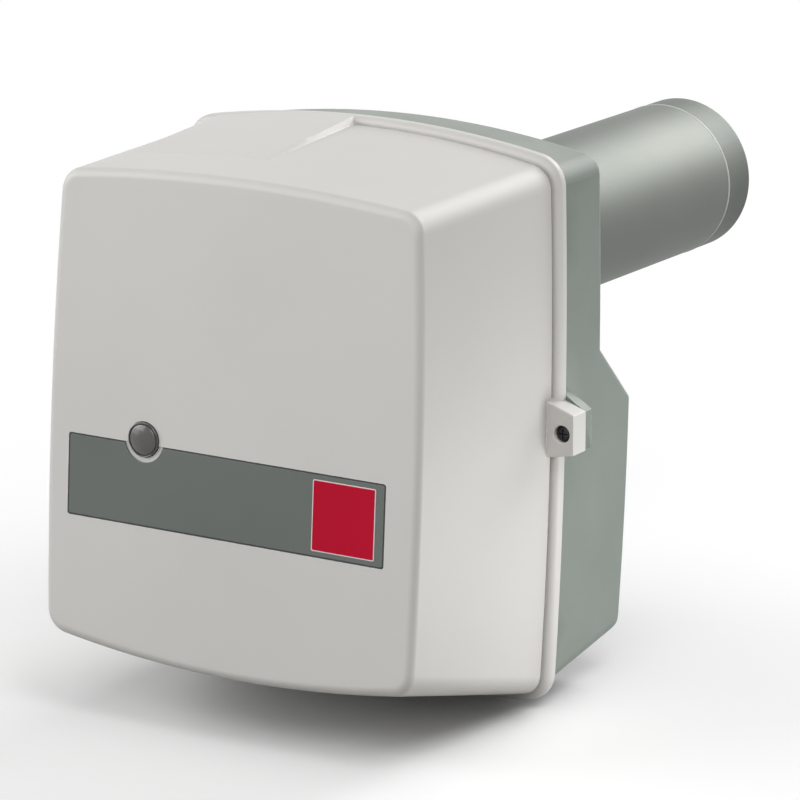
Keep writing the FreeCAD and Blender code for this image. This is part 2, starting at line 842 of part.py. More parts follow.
inner_curve, start_in, end_in = scroll_curve(0)
outer_curve, start_out, end_out = scroll_curve(scroll_thick)
top_in = V(end_in.x, end_in.y, shelf_z)
top_out = V(end_out.x, end_out.y, shelf_z)
edges = [
    inner_curve.toShape(),
    Part.LineSegment(end_in, top_in).toShape(),
    Part.LineSegment(top_in, top_out).toShape(),
]
edges += [Part.LineSegment(top_out, end_out).toShape(), outer_curve.toShape()]
edges += [Part.LineSegment(start_out, start_in).toShape()]
scroll = Part.Face(Part.Wire(Part.__sortEdges__(edges))).extrude(
    V(0, bulge_depth - casing_wall - divider_back_y, 0)
)
tongue = box(start_in.x, start_out.x, divider_back_y, bulge_depth - casing_wall, start_in.z, shelf_z)
scroll = scroll.fuse(tongue).common(room_fit)
save("scroll", scroll)


def blade(index):
    # forward-curved blade: two arcs from the wheel's eye to its rim, one thickness apart
    eye_r = fan_r - blade_depth
    rim_point = V(fan_r - 0.8, 0, -0.66 * blade_depth)
    front = [V(eye_r, 0, 0), V(eye_r + 0.6 * blade_depth, 0, -0.2 * blade_depth), rim_point]
    back = [V(p.x - 0.02 * blade_depth, 0, p.z - blade_thick) for p in front]
    edges = [Part.Arc(*front).toShape(), Part.LineSegment(front[2], back[2]).toShape()]
    edges += [Part.Arc(*back).toShape(), Part.LineSegment(back[0], front[0]).toShape()]
    solid = Part.Face(Part.Wire(Part.__sortEdges__(edges))).extrude(V(0, fan_width - 2, 0))
    solid = solid.translate(V(0, fan_front_y + 1, 0))
    return solid.rotate(V(0, 0, 0), V(0, 1, 0), 360 / blade_count * index)


wheel = rod(fan_r, fan_back_y - 1.5, fan_back_y)
wheel = wheel.fuse(sleeve(fan_r, fan_r - 6, fan_front_y, fan_front_y + 1.5))
wheel = wheel.fuse(rod(shaft_r + fan_hub_wall, fan_back_y - fan_hub_length, fan_back_y))
wheel = wheel.fuse([blade(i) for i in range(blade_count)])
wheel = wheel.cut(rod(shaft_r + round_fit, fan_front_y, fan_back_y + 1))
wheel = wheel.translate(V(0, 0, rotor_z))
save("fan_wheel", wheel)


# Motor and rotor

shield_r = motor_r + 1
shaft_hole = shaft_r + 0.5
back_shield = rod(shield_r, motor_back_y, plate_y, 0, rotor_z).fuse(
    rod(spigot_r, plate_y, casing_front_y, 0, rotor_z)
)
back_shield = back_shield.cut(rod(shaft_hole, motor_back_y - 1, casing_front_y + 1, 0, rotor_z))
back_shield = back_shield.cut(
    rod(bearing_r + round_fit, motor_back_y - 1, motor_back_y + bearing_width, 0, rotor_z)
)
save("motor_back_shield", back_shield)

front_shield = rod(shield_r, nose_y, motor_front_y, 0, rotor_z)
front_shield = front_shield.cut(rod(shaft_hole, nose_y - 1, motor_front_y + 1, 0, rotor_z))
front_shield = front_shield.cut(
    rod(bearing_r + round_fit, motor_front_y - bearing_width, motor_front_y + 1, 0, rotor_z)
)
save("motor_front_shield", front_shield)

can = sleeve(motor_r, motor_r - motor_wall, motor_front_y, motor_back_y, 0, rotor_z)
save("motor_can", can)

stator_out_r = motor_r - motor_wall - round_fit
stator = sleeve(
    stator_out_r, rotor_core_r + 0.5, motor_front_y + stator_inset, motor_back_y - stator_inset, 0, rotor_z
)
save("motor_stator", stator)

bearings = [
    sleeve(bearing_r, shaft_r + round_fit, motor_back_y, motor_back_y + bearing_width, 0, rotor_z),
    sleeve(bearing_r, shaft_r + round_fit, motor_front_y - bearing_width, motor_front_y, 0, rotor_z),
]
save("motor_bearings", group(bearings))

shaft_front_y = nose_y - shaft_reach
save("rotor_shaft", rod(shaft_r, shaft_front_y, shaft_back_y, 0, rotor_z))
core = sleeve(
    rotor_core_r, shaft_r + round_fit, motor_front_y + core_inset, motor_back_y - core_inset, 0, rotor_z
)
save("rotor_core", core)

pump_shaft_y = pump_back_y - shaft_reach
drive_y = shaft_front_y - 2
coupling = rod(coupling_r, drive_y - 5, nose_y - 1, 0, rotor_z)
coupling = coupling.cut(rod(shaft_r + round_fit, shaft_front_y - 0.3, nose_y, 0, rotor_z))
coupling = coupling.cut(rod(pump_shaft_r + round_fit, drive_y - 6, drive_y + 0.3, 0, rotor_z))
coupling = coupling.cut(sleeve(coupling_r + 1, coupling_r - 2, drive_y - 0.5, drive_y + 1.5, 0, rotor_z))
save("shaft_coupling", group([coupling, rod(pump_shaft_r, pump_shaft_y, drive_y, 0, rotor_z)]))

neck = sleeve(neck_r, neck_r - neck_wall, pump_back_y, nose_y, 0, rotor_z)
neck = neck.cut(
    box(-4, 4, pump_back_y + 4, nose_y - 3, rotor_z - neck_r - 1, rotor_z - neck_r + neck_wall + 1)
)
save("pump_bracket", neck)


# Oil pump

half = pump_side / 2
pump = box(-half, half, pump_front_y, pump_back_y, pump_low_z, pump_high_z)
pump = pump.makeChamfer(4, [e for e in pump.Edges if e.BoundBox.YLength > pump_depth - 1])
port_x = port_spacing / 2
ports = []
for side in (1, -1):
    pump = pump.fuse(
        rod_z(port_r + port_wall, pump_low_z - port_boss, pump_low_z + 1, side * port_x, pump_mid_y)
    )
    ports.append(
        rod_z(
            port_r,
            pump_low_z - port_boss - 1,
            pump_low_z - port_boss + port_depth,
            side * port_x,
            pump_mid_y,
        )
    )
outlet_z = rotor_z + outlet_rise
pump = pump.fuse(rod_x(6, half - 1, half + 8, pump_mid_y, outlet_z))
pump = pump.cut(ports + [rod(pump_shaft_r + running_fit, pump_shaft_y - 0.5, pump_back_y + 1, 0, rotor_z)])
pump = pump.cut(rod_x(pipe_r + round_fit, half + 2, half + 9, pump_mid_y, outlet_z))
screw = rod_x(4.5, -half - 9, -half + 1, pump_mid_y, rotor_z)
pump = pump.fuse(
    screw.cut(box(-half - 10, -half - 7, pump_mid_y - 5, pump_mid_y + 5, rotor_z - 0.6, rotor_z + 0.6))
)
save("pump_body", pump)

cover_y = pump_front_y - pump_cover
cover_half = half - cover_inset
cover = box(-cover_half, cover_half, cover_y, pump_front_y, rotor_z - cover_half, rotor_z + cover_half)
cover = cover.makeFillet(3, [e for e in cover.Edges if e.BoundBox.YLength > pump_cover - 1])
cover_reach = half - cover_screw_inset
cover_spots = [(x, rotor_z + z) for x in (cover_reach, -cover_reach) for z in (cover_reach, -cover_reach)]
screw_hole_r = small_screw_r + screw_gap
cover = cover.cut([rod(screw_hole_r, cover_y - 1, pump_front_y + 1, x, z) for x, z in cover_spots])
save("pump_cover", cover)
small_screws = [cap_screw(small_screw_r, cover_y, pump_front_y, x, z) for x, z in cover_spots]

coil = rod_z(coil_r, pump_high_z, pump_high_z + coil_height, 0, pump_mid_y)
coil = coil.fuse(
    box(-9, 9, pump_mid_y - coil_r - 8, pump_mid_y, pump_high_z + 6, pump_high_z + coil_height - 6)
)
nut_z = pump_high_z + coil_height
nut = hexagon(8, 0, 5).rotate(V(0, 0, 0), V(1, 0, 0), 90).translate(V(0, pump_mid_y, nut_z))
save("valve_coil", coil.fuse(nut))


# Controls at the upper left, behind the reset button

bracket_top = control_bottom - bracket_thick / 2
bracket_low = bracket_top - bracket_thick
bracket_high = bracket_low + bracket_rise
control_left_in = control_left + 2
control_right_in = control_right - 2
base_front_y = control_base_y - control_base_depth
bracket = box(control_left, control_right, base_front_y, plate_y, bracket_low, bracket_top)
bracket = bracket.fuse(
    box(control_left, control_right, plate_y - bracket_thick, plate_y, bracket_low, bracket_high)
)
for x in (control_left, control_right - bracket_thick):
    corners = [(plate_y, bracket_low), (plate_y, bracket_high), (base_front_y, bracket_low + 6)]
    corners += [(base_front_y, bracket_low)]
    bracket = bracket.fuse(prism_x(corners, x, x + bracket_thick))
bracket = bracket.fuse(
    box(
        control_left,
        control_right,
        control_base_y,
        control_base_y + bracket_thick,
        bracket_low,
        bracket_high - 4,
    )
)
save("control_bracket", bracket)

rib_x = control_right - bracket_thick - seat_gap
base = box(
    control_left + bracket_thick + seat_gap, rib_x, base_front_y, control_base_y, bracket_top, control_top
)
top_edges = [e for e in long_edges(base) if e.BoundBox.ZMin > control_top - 1]
base = base.makeFillet(2.5, top_edges)
for i in range(base_slots):
    x = control_left + 18 + i * 10
    base = base.cut(box(x, x + 6, base_front_y - 1, control_base_y + 1, control_top - 5, control_top + 1))
save("control_base", base)

box_back_y = base_front_y
control = box(
    control_left_in, control_right_in, control_front_y, box_back_y, control_bottom + 2, control_top - 3
)
control = control.makeFillet(4, [e for e in control.Edges if e.BoundBox.YMax < box_back_y - 1])
control = control.cut(
    rod(lockout_r + seat_gap, control_front_y - 1, control_front_y + lockout_sink, button_x, button_z)
)
save("control_box", control)

lockout = rod(
    lockout_r,
    lockout_front_y,
    control_front_y + lockout_sink - button_travel - seat_gap,
    button_x,
    button_z,
)
lockout = lockout.makeFillet(1.5, [e for e in lockout.Edges if e.BoundBox.YMax < lockout_front_y + 0.1])
save("lockout_button", lockout)


# Ignition transformer at the upper right, with its two leads to the electrodes

trafo_right = trafo_left + trafo_width
trafo_top = trafo_bottom + trafo_height
trafo_front_y = plate_y - trafo_depth
trafo_foot_y = plate_y - trafo_foot
trafo = box(trafo_left, trafo_right, trafo_front_y, trafo_foot_y, trafo_bottom, trafo_top)
round_edges = [
    e for e in trafo.Edges if e.BoundBox.YLength > trafo_depth - 4 or e.BoundBox.YMax < plate_y - 10
]
trafo = trafo.makeFillet(4, round_edges)
trafo_low = trafo_bottom - trafo_foot_rise
trafo_high = trafo_top + trafo_foot_rise
trafo = trafo.fuse(box(trafo_left, trafo_right, trafo_foot_y, plate_y, trafo_low, trafo_high))
foot_spots = [(x, z) for x in (trafo_left + 8, trafo_right - 8) for z in (trafo_low + 4, trafo_high - 4)]
trafo = trafo.cut([rod(screw_hole_r, plate_y - trafo_foot - 1, plate_y + 1, x, z) for x, z in foot_spots])
lead_y = [trafo_front_y + row for row in lead_rows]
for y in lead_y:
    trafo = trafo.fuse(rod_x(lead_r + 3, trafo_left - 5, trafo_left + 1, y, electrode_z))
    trafo = trafo.cut(rod_x(lead_r + round_fit, trafo_left - 6, trafo_left - 2, y, electrode_z))
save("ignition_transformer", trafo)
small_screws += [cap_screw(small_screw_r, plate_y - trafo_foot, plate_y, x, z) for x, z in foot_spots]
save("small_screws", group(small_screws))

electrode_back_y = head_y - electrode_length + 4
lead_end_y = electrode_back_y + 3
leads = []
for side, y in ((1, lead_y[1]), (-1, lead_y[0])):
    lead_x = side * electrode_x
    spots = [
        (trafo_left - 2.2, y, electrode_z), (lead_x, y, electrode_z), (lead_x, lead_end_y, electrode_z)
    ]
    leads.append(pipe(spots, lead_r, lead_bend))
save("ignition_leads", group(leads))
grommets = []
for side in (1, -1):
    x = side * electrode_x
    ring = sleeve(
        grommet_r - round_fit, lead_r + round_fit, plate_y - 1.5, casing_front_y + 1.5, x, electrode_z
    )
    ring = ring.fuse(sleeve(grommet_r + 1.5, lead_r + round_fit, plate_y - 3, plate_y, x, electrode_z))
    grommets.append(ring)
save("lead_grommets", group(grommets))


# Nozzle line and combustion head

bush_r = line_r + bush_wall
bush = rod(bush_r, plate_y - 4, casing_front_y + 4).fuse(rod(bush_r + 2, plate_y - 4, plate_y))
bush = bush.cut(rod(line_r + running_fit, plate_y - 9, casing_front_y + 9))
save("line_bush", bush)

holder_y = head_y - holder_length
line = sleeve(line_r, line_bore, line_front_y, holder_y)
save("nozzle_line", line)

union = hexagon(line_r + 3, line_front_y - 6, line_front_y + 6)
union = union.cut(rod(line_r + round_fit, line_front_y, line_front_y + 7))
union = union.cut(rod(pipe_r + round_fit, line_front_y - 7, line_front_y + 1))
save("union_nut", union)

holder = rod(holder_r, holder_y, head_y).fuse(rod(line_r + 1.5, holder_y - 4, holder_y))
holder = holder.cut(rod(line_r + round_fit, holder_y - 5, holder_y))
holder = holder.cut(rod(line_bore, holder_y - 1, head_y - 4))
save("nozzle_holder", holder)

nozzle = hexagon(8, head_y, head_y + 6).fuse(cone(5.5, 2.5, head_y + 6, head_y + nozzle_length))
save("oil_nozzle", nozzle)

clamp_y = holder_y + 3
clamp_end_y = clamp_y + electrode_clamp_length
bracket = rod(holder_r + 3, clamp_y, clamp_end_y)
bracket = bracket.fuse(box(-electrode_x, electrode_x, clamp_y, clamp_end_y, 6, electrode_z + 4))
for side in (1, -1):
    bracket = bracket.fuse(rod(electrode_r + 2.5, clamp_y, clamp_end_y, side * electrode_x, electrode_z))
bracket = bracket.cut(rod(holder_r + round_fit, clamp_y - 1, clamp_end_y + 1))
for side in (1, -1):
    bracket = bracket.cut(
        rod(electrode_r + round_fit, clamp_y - 1, clamp_end_y + 1, side * electrode_x, electrode_z)
    )
save("electrode_clamp", bracket)

ceramics = []
tips = []
for side in (1, -1):
    x = side * electrode_x
    ceramic = rod(electrode_r, electrode_back_y, head_y + 4, x, electrode_z)
    ceramic = ceramic.cut(rod(lead_r + round_fit, electrode_back_y - 1, lead_end_y + 0.1, x, electrode_z))
    ceramic = ceramic.cut(rod(1.0 + round_fit, head_y - 6, head_y + 5, x, electrode_z))
    ceramics.append(ceramic)
    spots = [
        (x, head_y - 6, electrode_z),
        (x, head_y + 5.5, electrode_z),
        (side * 2.2, head_y + nozzle_length + 3, 6.5),
    ]
    tips.append(pipe(spots, 1.0, 3))
save("electrodes", group(ceramics + tips))

disc_y = head_y + nozzle_length
disc = sleeve(disc_r, disc_hole_r, disc_y, disc_y + disc_thick)
for i in range(disc_slots):
    slot = box(disc_hole_r + 4, disc_r - 4, disc_y - 1, disc_y + disc_thick + 1, -1.6, 1.6)
    vane = box(disc_hole_r + 4, disc_r - 4, disc_y, disc_y + 6, -1.6, -0.8)
    angle = 360 / disc_slots * (i + 0.5)
    disc = disc.cut(slot.rotate(V(0, 0, 0), V(0, 1, 0), angle))
    disc = disc.fuse(vane.rotate(V(0, 0, 0), V(0, 1, 0), angle))
disc = disc.removeSplitter()
save("turbulator_disc", disc)

carrier_y = clamp_end_y + 1
carrier = rod(holder_r + 2.5, carrier_y, carrier_y + carrier_length)
for angle in (90, 210, 330):
    arm = box(holder_r + 1, carrier_reach, carrier_y, carrier_y + carrier_length, -1.5, 1.5)
    arm = arm.fuse(box(carrier_reach - 2, carrier_reach, carrier_y, disc_y, -1.5, 1.5))
    carrier = carrier.fuse(arm.rotate(V(0, 0, 0), V(0, 1, 0), -angle))
carrier = carrier.cut(rod(holder_r + round_fit, carrier_y - 1, carrier_y + carrier_length + 1))
save("disc_carrier", carrier)

spider_y = holder_y - spider_behind
spider_end_y = spider_y + spider_length
spider = rod(line_r + 4, spider_y, spider_end_y)
for angle in (90, 210, 330):
    arm = box(line_r + 2, tube_inner_r - 0.4, spider_y, spider_end_y, -2, 2)
    spider = spider.fuse(arm.rotate(V(0, 0, 0), V(0, 1, 0), -angle))
spider = spider.cut(rod(line_r + round_fit, spider_y - 1, spider_end_y + 1))
save("head_spider", spider)

yoke_y = plate_y - yoke_ahead
yoke_end_y = yoke_y + yoke_thick
yoke = rod(line_r + 5, yoke_y, yoke_end_y)
yoke = yoke.fuse(rod(head_screw_r + 5, yoke_y, yoke_end_y, 0, head_screw_z))
yoke = yoke.fuse(box(-5, 5, yoke_y, yoke_end_y, head_screw_z, 0))
yoke = yoke.cut(rod(line_r + round_fit, yoke_y - 1, yoke_end_y + 1))
yoke = yoke.cut(rod(head_screw_r + running_fit, yoke_y - 1, yoke_end_y + 1, 0, head_screw_z))
save("line_yoke", yoke)

knob_y = yoke_y - knob_ahead
screw = rod(head_screw_r, knob_y, casing_front_y + 5, 0, head_screw_z)
screw = screw.fuse(rod(head_screw_r + 3, knob_y - 5, knob_y, 0, head_screw_z))
screw = screw.fuse(rod(head_screw_r + 2.5, plate_y - 3, plate_y - seat_gap, 0, head_screw_z))
slot_half = head_screw_r + 4
screw = screw.cut(
    box(-slot_half, slot_half, knob_y - 6, knob_y - 3.4, head_screw_z - 0.7, head_screw_z + 0.7)
)
save("head_screw", screw)

pipe_x = half + pipe_out
outlet = [(half + 2.2, pump_mid_y, outlet_z), (pipe_x, pump_mid_y, outlet_z), (pipe_x, pump_mid_y, 0)]
outlet += [(0, pump_mid_y, 0), (0, line_front_y - 0.3, 0)]
save("oil_pipe", pipe(outlet, pipe_r, pipe_bend))


# Photocell in the plate, with its lead to the control base

cell_end_y = plate_y - cell_reach
cell = rod(cell_r, cell_end_y, plate_y - 2, cell_x, cell_z)
cell = cell.fuse(rod(cell_r - 2, plate_y - 2, casing_front_y + 4, cell_x, cell_z))
cell = cell.fuse(rod(cell_r + 3, plate_y - 2, plate_y, cell_x, cell_z))
cell = cell.makeChamfer(2, [e for e in cell.Edges if e.BoundBox.YMax < cell_end_y + 0.1])
save("photocell", cell)
cell_lead_x = cell_x - cell_lead_side
cell_lead_y = base_front_y + control_base_depth / 2
spots = [
    (cell_x, cell_end_y - 0.1, cell_z),
    (cell_x, cell_end_y - cell_lead_ahead, cell_z),
    (cell_lead_x, cell_lead_y, cell_z - cell_lead_drop),
]
spots += [(cell_lead_x, cell_lead_y, control_top + 0.1)]
save("photocell_lead", pipe(spots, 2.0, 10))


# Start capacitor beside the motor

capacitor_back_y = plate_y - 3
capacitor = rod(
    capacitor_r, capacitor_back_y - capacitor_length, capacitor_back_y, capacitor_x, capacitor_z
)
capacitor = capacitor.makeFillet(2, [e for e in capacitor.Edges if e.BoundBox.YMax < capacitor_back_y - 9])
save("capacitor", capacitor)
clip_y = plate_y - capacitor_length * 0.6
clip = sleeve(capacitor_r + 2, capacitor_r + round_fit, clip_y, clip_y + 10, capacitor_x, capacitor_z)
clip = clip.fuse(rod(capacitor_r + 2, capacitor_back_y, plate_y, capacitor_x, capacitor_z))
clip = clip.fuse(
    box(
        capacitor_x - 5,
        capacitor_x + 5,
        clip_y,
        plate_y,
        capacitor_z + capacitor_r + 0.5,
        capacitor_z + capacitor_r + 2,
    )
)
save("capacitor_clip", clip)


# Air damper: shaft and flap in the intake chamber, lever and scale outside on the left

side_out = side_x(damper_z, casing_flare - casing_inset)
scale_x = -side_out - scale_thick - seat_gap
shaft_left = scale_x - 9
shaft = rod_x(damper_r, shaft_left, bearing_x - 2.5, chamber_y, damper_z)
save("damper_shaft", shaft)
flap = box(
    -damper_half,
    damper_half,
    chamber_y - damper_flap,
    chamber_y + damper_flap,
    damper_z - damper_r - 1.2,
    damper_z - damper_r,
)
flap = flap.fuse(rod_x(damper_r + 1.5, -damper_half, damper_half, chamber_y, damper_z))
flap = flap.cut(rod_x(damper_r + round_fit, -damper_half - 1, damper_half + 1, chamber_y, damper_z))
save("damper_flap", flap)
lever = rod_x(damper_r + 4, scale_x - 7, scale_x - 1, chamber_y, damper_z)
lever = lever.fuse(
    box(scale_x - 4.5, scale_x - 1.5, chamber_y - 4, chamber_y + 4, damper_z, damper_z + lever_length)
)
lever = lever.fuse(rod_x(4, scale_x - 4.5, scale_x - 1.5, chamber_y, damper_z + lever_length))
lever = lever.fuse(rod_x(2.5, scale_x - 12, scale_x - 1.5, chamber_y, damper_z + lever_length))
lever = lever.cut(rod_x(damper_r + round_fit, scale_x - 8, scale_x, chamber_y, damper_z))
save("damper_lever", lever)
scale = rod_x(lever_length + 8, scale_x, scale_x + scale_thick, chamber_y, damper_z)
scale = scale.cut(rod_x(lever_length - 8, scale_x - 1, scale_x + scale_thick + 1, chamber_y, damper_z))
scale = scale.common(box(-far, 0, casing_front_y + 1.5, far, damper_z - 10, far))
for x_y, x_z in ((chamber_y + 8, damper_z + lever_length), (chamber_y + lever_length, damper_z + 8)):
    scale = scale.fuse(rod_x(3.0, scale_x + scale_thick / 2, -side_out + 1.0, x_y, x_z))
save("damper_scale", scale.cut(casing))


# Cable gland on its angle, above the notch in the hood

gland = rod_z(gland_bore + 4, gland_low_z, gland_low_z + gland_length, gland_x, gland_y)
gland_nut = hexagon(gland_bore + 6.5, 0, 7).rotate(V(0, 0, 0), V(1, 0, 0), 90).translate(
    V(gland_x, gland_y, gland_low_z + 2)
)
gland = gland.fuse(gland_nut).cut(
    rod_z(gland_bore, gland_low_z - 1, gland_low_z + gland_length + 1, gland_x, gland_y)
)
angle_z = gland_low_z + 13
angle_x = (gland_x - angle_half, gland_x + angle_half)
angle = box(*angle_x, gland_y - angle_reach, plate_y, angle_z, angle_z + bracket_thick)
angle = angle.fuse(box(*angle_x, plate_y - bracket_thick, plate_y, angle_z, angle_z + angle_rise))
angle = angle.cut(rod_z(gland_bore + 4 + round_fit, angle_z - 1, angle_z + 9, gland_x, gland_y))
save("cable_gland", gland)
save("gland_angle", angle)
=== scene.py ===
import json
import math

import bmesh
import bpy
import numpy as np
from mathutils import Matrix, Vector


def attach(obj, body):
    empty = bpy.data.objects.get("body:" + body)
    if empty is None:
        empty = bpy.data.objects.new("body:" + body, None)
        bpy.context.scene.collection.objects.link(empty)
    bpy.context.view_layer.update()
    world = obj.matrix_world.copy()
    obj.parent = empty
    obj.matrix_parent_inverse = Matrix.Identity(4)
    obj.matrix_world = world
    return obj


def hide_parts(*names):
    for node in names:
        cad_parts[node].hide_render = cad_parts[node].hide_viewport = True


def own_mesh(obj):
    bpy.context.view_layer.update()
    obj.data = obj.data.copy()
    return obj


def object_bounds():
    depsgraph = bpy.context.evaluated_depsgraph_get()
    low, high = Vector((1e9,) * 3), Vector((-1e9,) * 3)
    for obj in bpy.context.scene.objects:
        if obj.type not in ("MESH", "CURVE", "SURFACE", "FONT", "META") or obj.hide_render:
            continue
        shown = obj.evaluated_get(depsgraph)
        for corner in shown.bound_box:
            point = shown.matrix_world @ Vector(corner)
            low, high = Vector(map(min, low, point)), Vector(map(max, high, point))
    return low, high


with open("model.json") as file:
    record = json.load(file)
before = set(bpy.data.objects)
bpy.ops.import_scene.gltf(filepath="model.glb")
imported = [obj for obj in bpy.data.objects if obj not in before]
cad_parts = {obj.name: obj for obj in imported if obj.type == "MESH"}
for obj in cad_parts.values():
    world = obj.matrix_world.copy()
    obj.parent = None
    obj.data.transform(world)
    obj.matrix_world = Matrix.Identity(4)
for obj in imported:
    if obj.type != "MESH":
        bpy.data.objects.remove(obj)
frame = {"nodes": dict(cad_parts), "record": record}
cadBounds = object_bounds()
mm = 0.001
print("frame loaded:", len(frame["nodes"]), "nodes")


# ---- helpers for node trees ----

def addNode(tree, kind, values=None, **settings):
    # a shader node with its settings, and fixed values for some of its inputs
    node = tree.nodes.new("ShaderNode" + kind)
    for key, value in settings.items():
        setattr(node, key, value)
    for key, value in (values or {}).items():
        node.inputs[key].default_value = value
    return node


def wire(tree, *links):
    # each link is an output and the input that it feeds
    for source, target in links:
        tree.links.new(source, target)


def newTree(owner):
    # the empty node tree of a material or world
    owner.use_nodes = True
    owner.node_tree.nodes.clear()
    return owner.node_tree


def whiteRays(tree):
    # 1 for the rays that should meet a white background: camera, gloss and glass
    path = addNode(tree, "LightPath")
    last = path.outputs["Is Camera Ray"]
    for kind in ("Is Glossy Ray", "Is Transmission Ray"):
        most = addNode(tree, "Math", operation="MAXIMUM")
        wire(tree, (last, most.inputs[0]), (path.outputs[kind], most.inputs[1]))
        last = most.outputs[0]
    return last


# ---- camera, lights and floor ----

camera = {
    "place": (1382.8, -2212.6, 595.8),  # millimetres, fitted to the photograph's edges
    "target": (37.82, -80.0, -53.14),
    "lens": 219.9,
    "sensor": 36.0,
    "clip": (0.05, 50),
}


def makeCamera(settings):
    # turned so that its own Z axis runs from the target back to its place
    data = bpy.data.cameras.new("photoCamera")
    data.lens = settings["lens"]
    data.sensor_width = settings["sensor"]
    data.clip_start, data.clip_end = settings["clip"]
    obj = bpy.data.objects.new("photoCamera", data)
    bpy.context.scene.collection.objects.link(obj)
    place = Vector(settings["place"]) * mm
    obj.location = place
    obj.rotation_mode = "QUATERNION"
    obj.rotation_quaternion = (place - Vector(settings["target"]) * mm).to_track_quat("Z", "Y")
    bpy.context.scene.camera = obj


makeCamera(camera)

lights = {
    "ambient": 0.15,  # strength of the white world on the object
    "target": (0.0, -0.1, -0.06),
    "lamps": [
        # name, bearing from the front and height in degrees, distance and size in metres, power in watts
        ("leftSoftbox", -45, 25, 2.6, 1.6, 24.0),
        ("sideSoftbox", -75, 20, 2.2, 1.2, 9.2),
        ("lowSoftbox", -60, 12, 2.6, 1.6, 10.5),
        ("frontSoftbox", 20, 30, 2.6, 1.6, 16.5),
        ("rightSoftbox", 60, 50, 2.2, 1.0, 15.2),
        ("backSoftbox", 171, 30, 2.2, 1.3, 25.0),
        ("edgeSoftbox", 157, 28, 2.2, 1.2, 13.0),
        ("footLamp", 108, -18, 0.36, 0.1, 0.36),
    ],
}


def makeLamp(aim, name, bearing, height, distance, size, power):
    # a square lamp at its distance from the aim, facing it; the camera doesn't see it
    data = bpy.data.lights.new(name, "AREA")
    data.shape = "SQUARE"
    data.size = size
    data.energy = power
    obj = bpy.data.objects.new(name, data)
    a, e = math.radians(bearing), math.radians(height)
    back = Vector((math.sin(a) * math.cos(e), -math.cos(a) * math.cos(e), math.sin(e)))
    obj.location = aim + back * distance
    obj.rotation_mode = "QUATERNION"
    obj.rotation_quaternion = back.to_track_quat("Z", "Y")
    obj.visible_camera = False
    bpy.context.scene.collection.objects.link(obj)
    return obj


def makeWorld(ambient):
    # white for the rays that show it, dim white for the light that falls on the object
    world = bpy.data.worlds.new("studio")
    tree = newTree(world)
    soft = addNode(tree, "Background", {"Color": (1, 1, 1, 1), "Strength": ambient})
    white = addNode(tree, "Background", {"Color": (1, 1, 1, 1)})
    mix = addNode(tree, "MixShader")
    out = addNode(tree, "OutputWorld")
    wire(
        tree,
        (whiteRays(tree), mix.inputs["Fac"]),
        (soft.outputs[0], mix.inputs[1]),
        (white.outputs[0], mix.inputs[2]),
        (mix.outputs[0], out.inputs["Surface"]),
    )
    bpy.context.scene.world = world


lamps = {row[0]: makeLamp(Vector(lights["target"]), *row) for row in lights["lamps"]}
makeWorld(lights["ambient"])
view = bpy.context.scene.view_settings
view.view_transform = "Standard"

floorLook = {
    "reach": 9.0,  # metres
    "near": 0.26,  # it turns from matt to plain white between these distances
    "far": 0.62,
    "seen": 0.93,  # tone for the rays that show it
    "bounce": 0.35,  # tone for the light that it throws back
}


def makeFloor(settings, low):
    # a large square under the object; its share of plain white grows with distance
    mesh = bpy.data.meshes.new("floor")
    r = settings["reach"]
    mesh.from_pydata([(-r, -r, low), (r, -r, low), (r, r, low), (-r, r, low)], [], [(0, 1, 2, 3)])
    obj = bpy.data.objects.new("floor", mesh)
    bpy.context.scene.collection.objects.link(obj)
    mat = bpy.data.materials.new("paleFloor")
    tree = newTree(mat)
    spot = addNode(tree, "TexCoord")
    distance = addNode(tree, "VectorMath", operation="LENGTH")
    ramp = addNode(tree, "MapRange", {"From Min": settings["near"], "From Max": settings["far"]})
    seen = addNode(tree, "Math", operation="MULTIPLY")
    tones = {"A": (settings["bounce"],) * 3 + (1,), "B": (settings["seen"],) * 3 + (1,)}
    tone = addNode(tree, "Mix", tones, data_type="RGBA")
    matt = addNode(tree, "BsdfDiffuse")
    glow = addNode(tree, "Emission")
    mix = addNode(tree, "MixShader")
    out = addNode(tree, "OutputMaterial")
    white = whiteRays(tree)
    wire(
        tree,
        (spot.outputs["Object"], distance.inputs[0]),
        (distance.outputs["Value"], ramp.inputs["Value"]),
        (ramp.outputs["Result"], seen.inputs[0]),
        (white, seen.inputs[1]),
        (white, tone.inputs["Factor"]),
        (tone.outputs["Result"], matt.inputs["Color"]),
        (seen.outputs[0], mix.inputs["Fac"]),
        (matt.outputs[0], mix.inputs[1]),
        (glow.outputs[0], mix.inputs[2]),
        (mix.outputs[0], out.inputs["Surface"]),
    )
    mesh.materials.append(mat)
    return obj


def keepOff(lamp, obj):
    # the lamp lights everything but this object
    others = bpy.data.collections.new(lamp.name + "Receivers")
    others.objects.link(obj)
    others.collection_objects[0].light_linking.link_state = "EXCLUDE"
    lamp.light_linking.receiver_collection = others


keepOff(lamps["footLamp"], makeFloor(floorLook, cadBounds[0].z))
print("camera, lights and floor made")


# ---- shared shader effects ----

def newGroup(name, inputs, outputs):
    # a node group from (name, socket kind, default) rows and (name, socket kind) rows
    group = bpy.data.node_groups.new(name, "ShaderNodeTree")
    for label, kind, value in inputs:
        group.interface.new_socket(label, in_out="INPUT", socket_type=kind).default_value = value
    for label, kind in outputs:
        group.interface.new_socket(label, in_out="OUTPUT", socket_type=kind)
    return group, group.nodes.new("NodeGroupInput"), group.nodes.new("NodeGroupOutput")


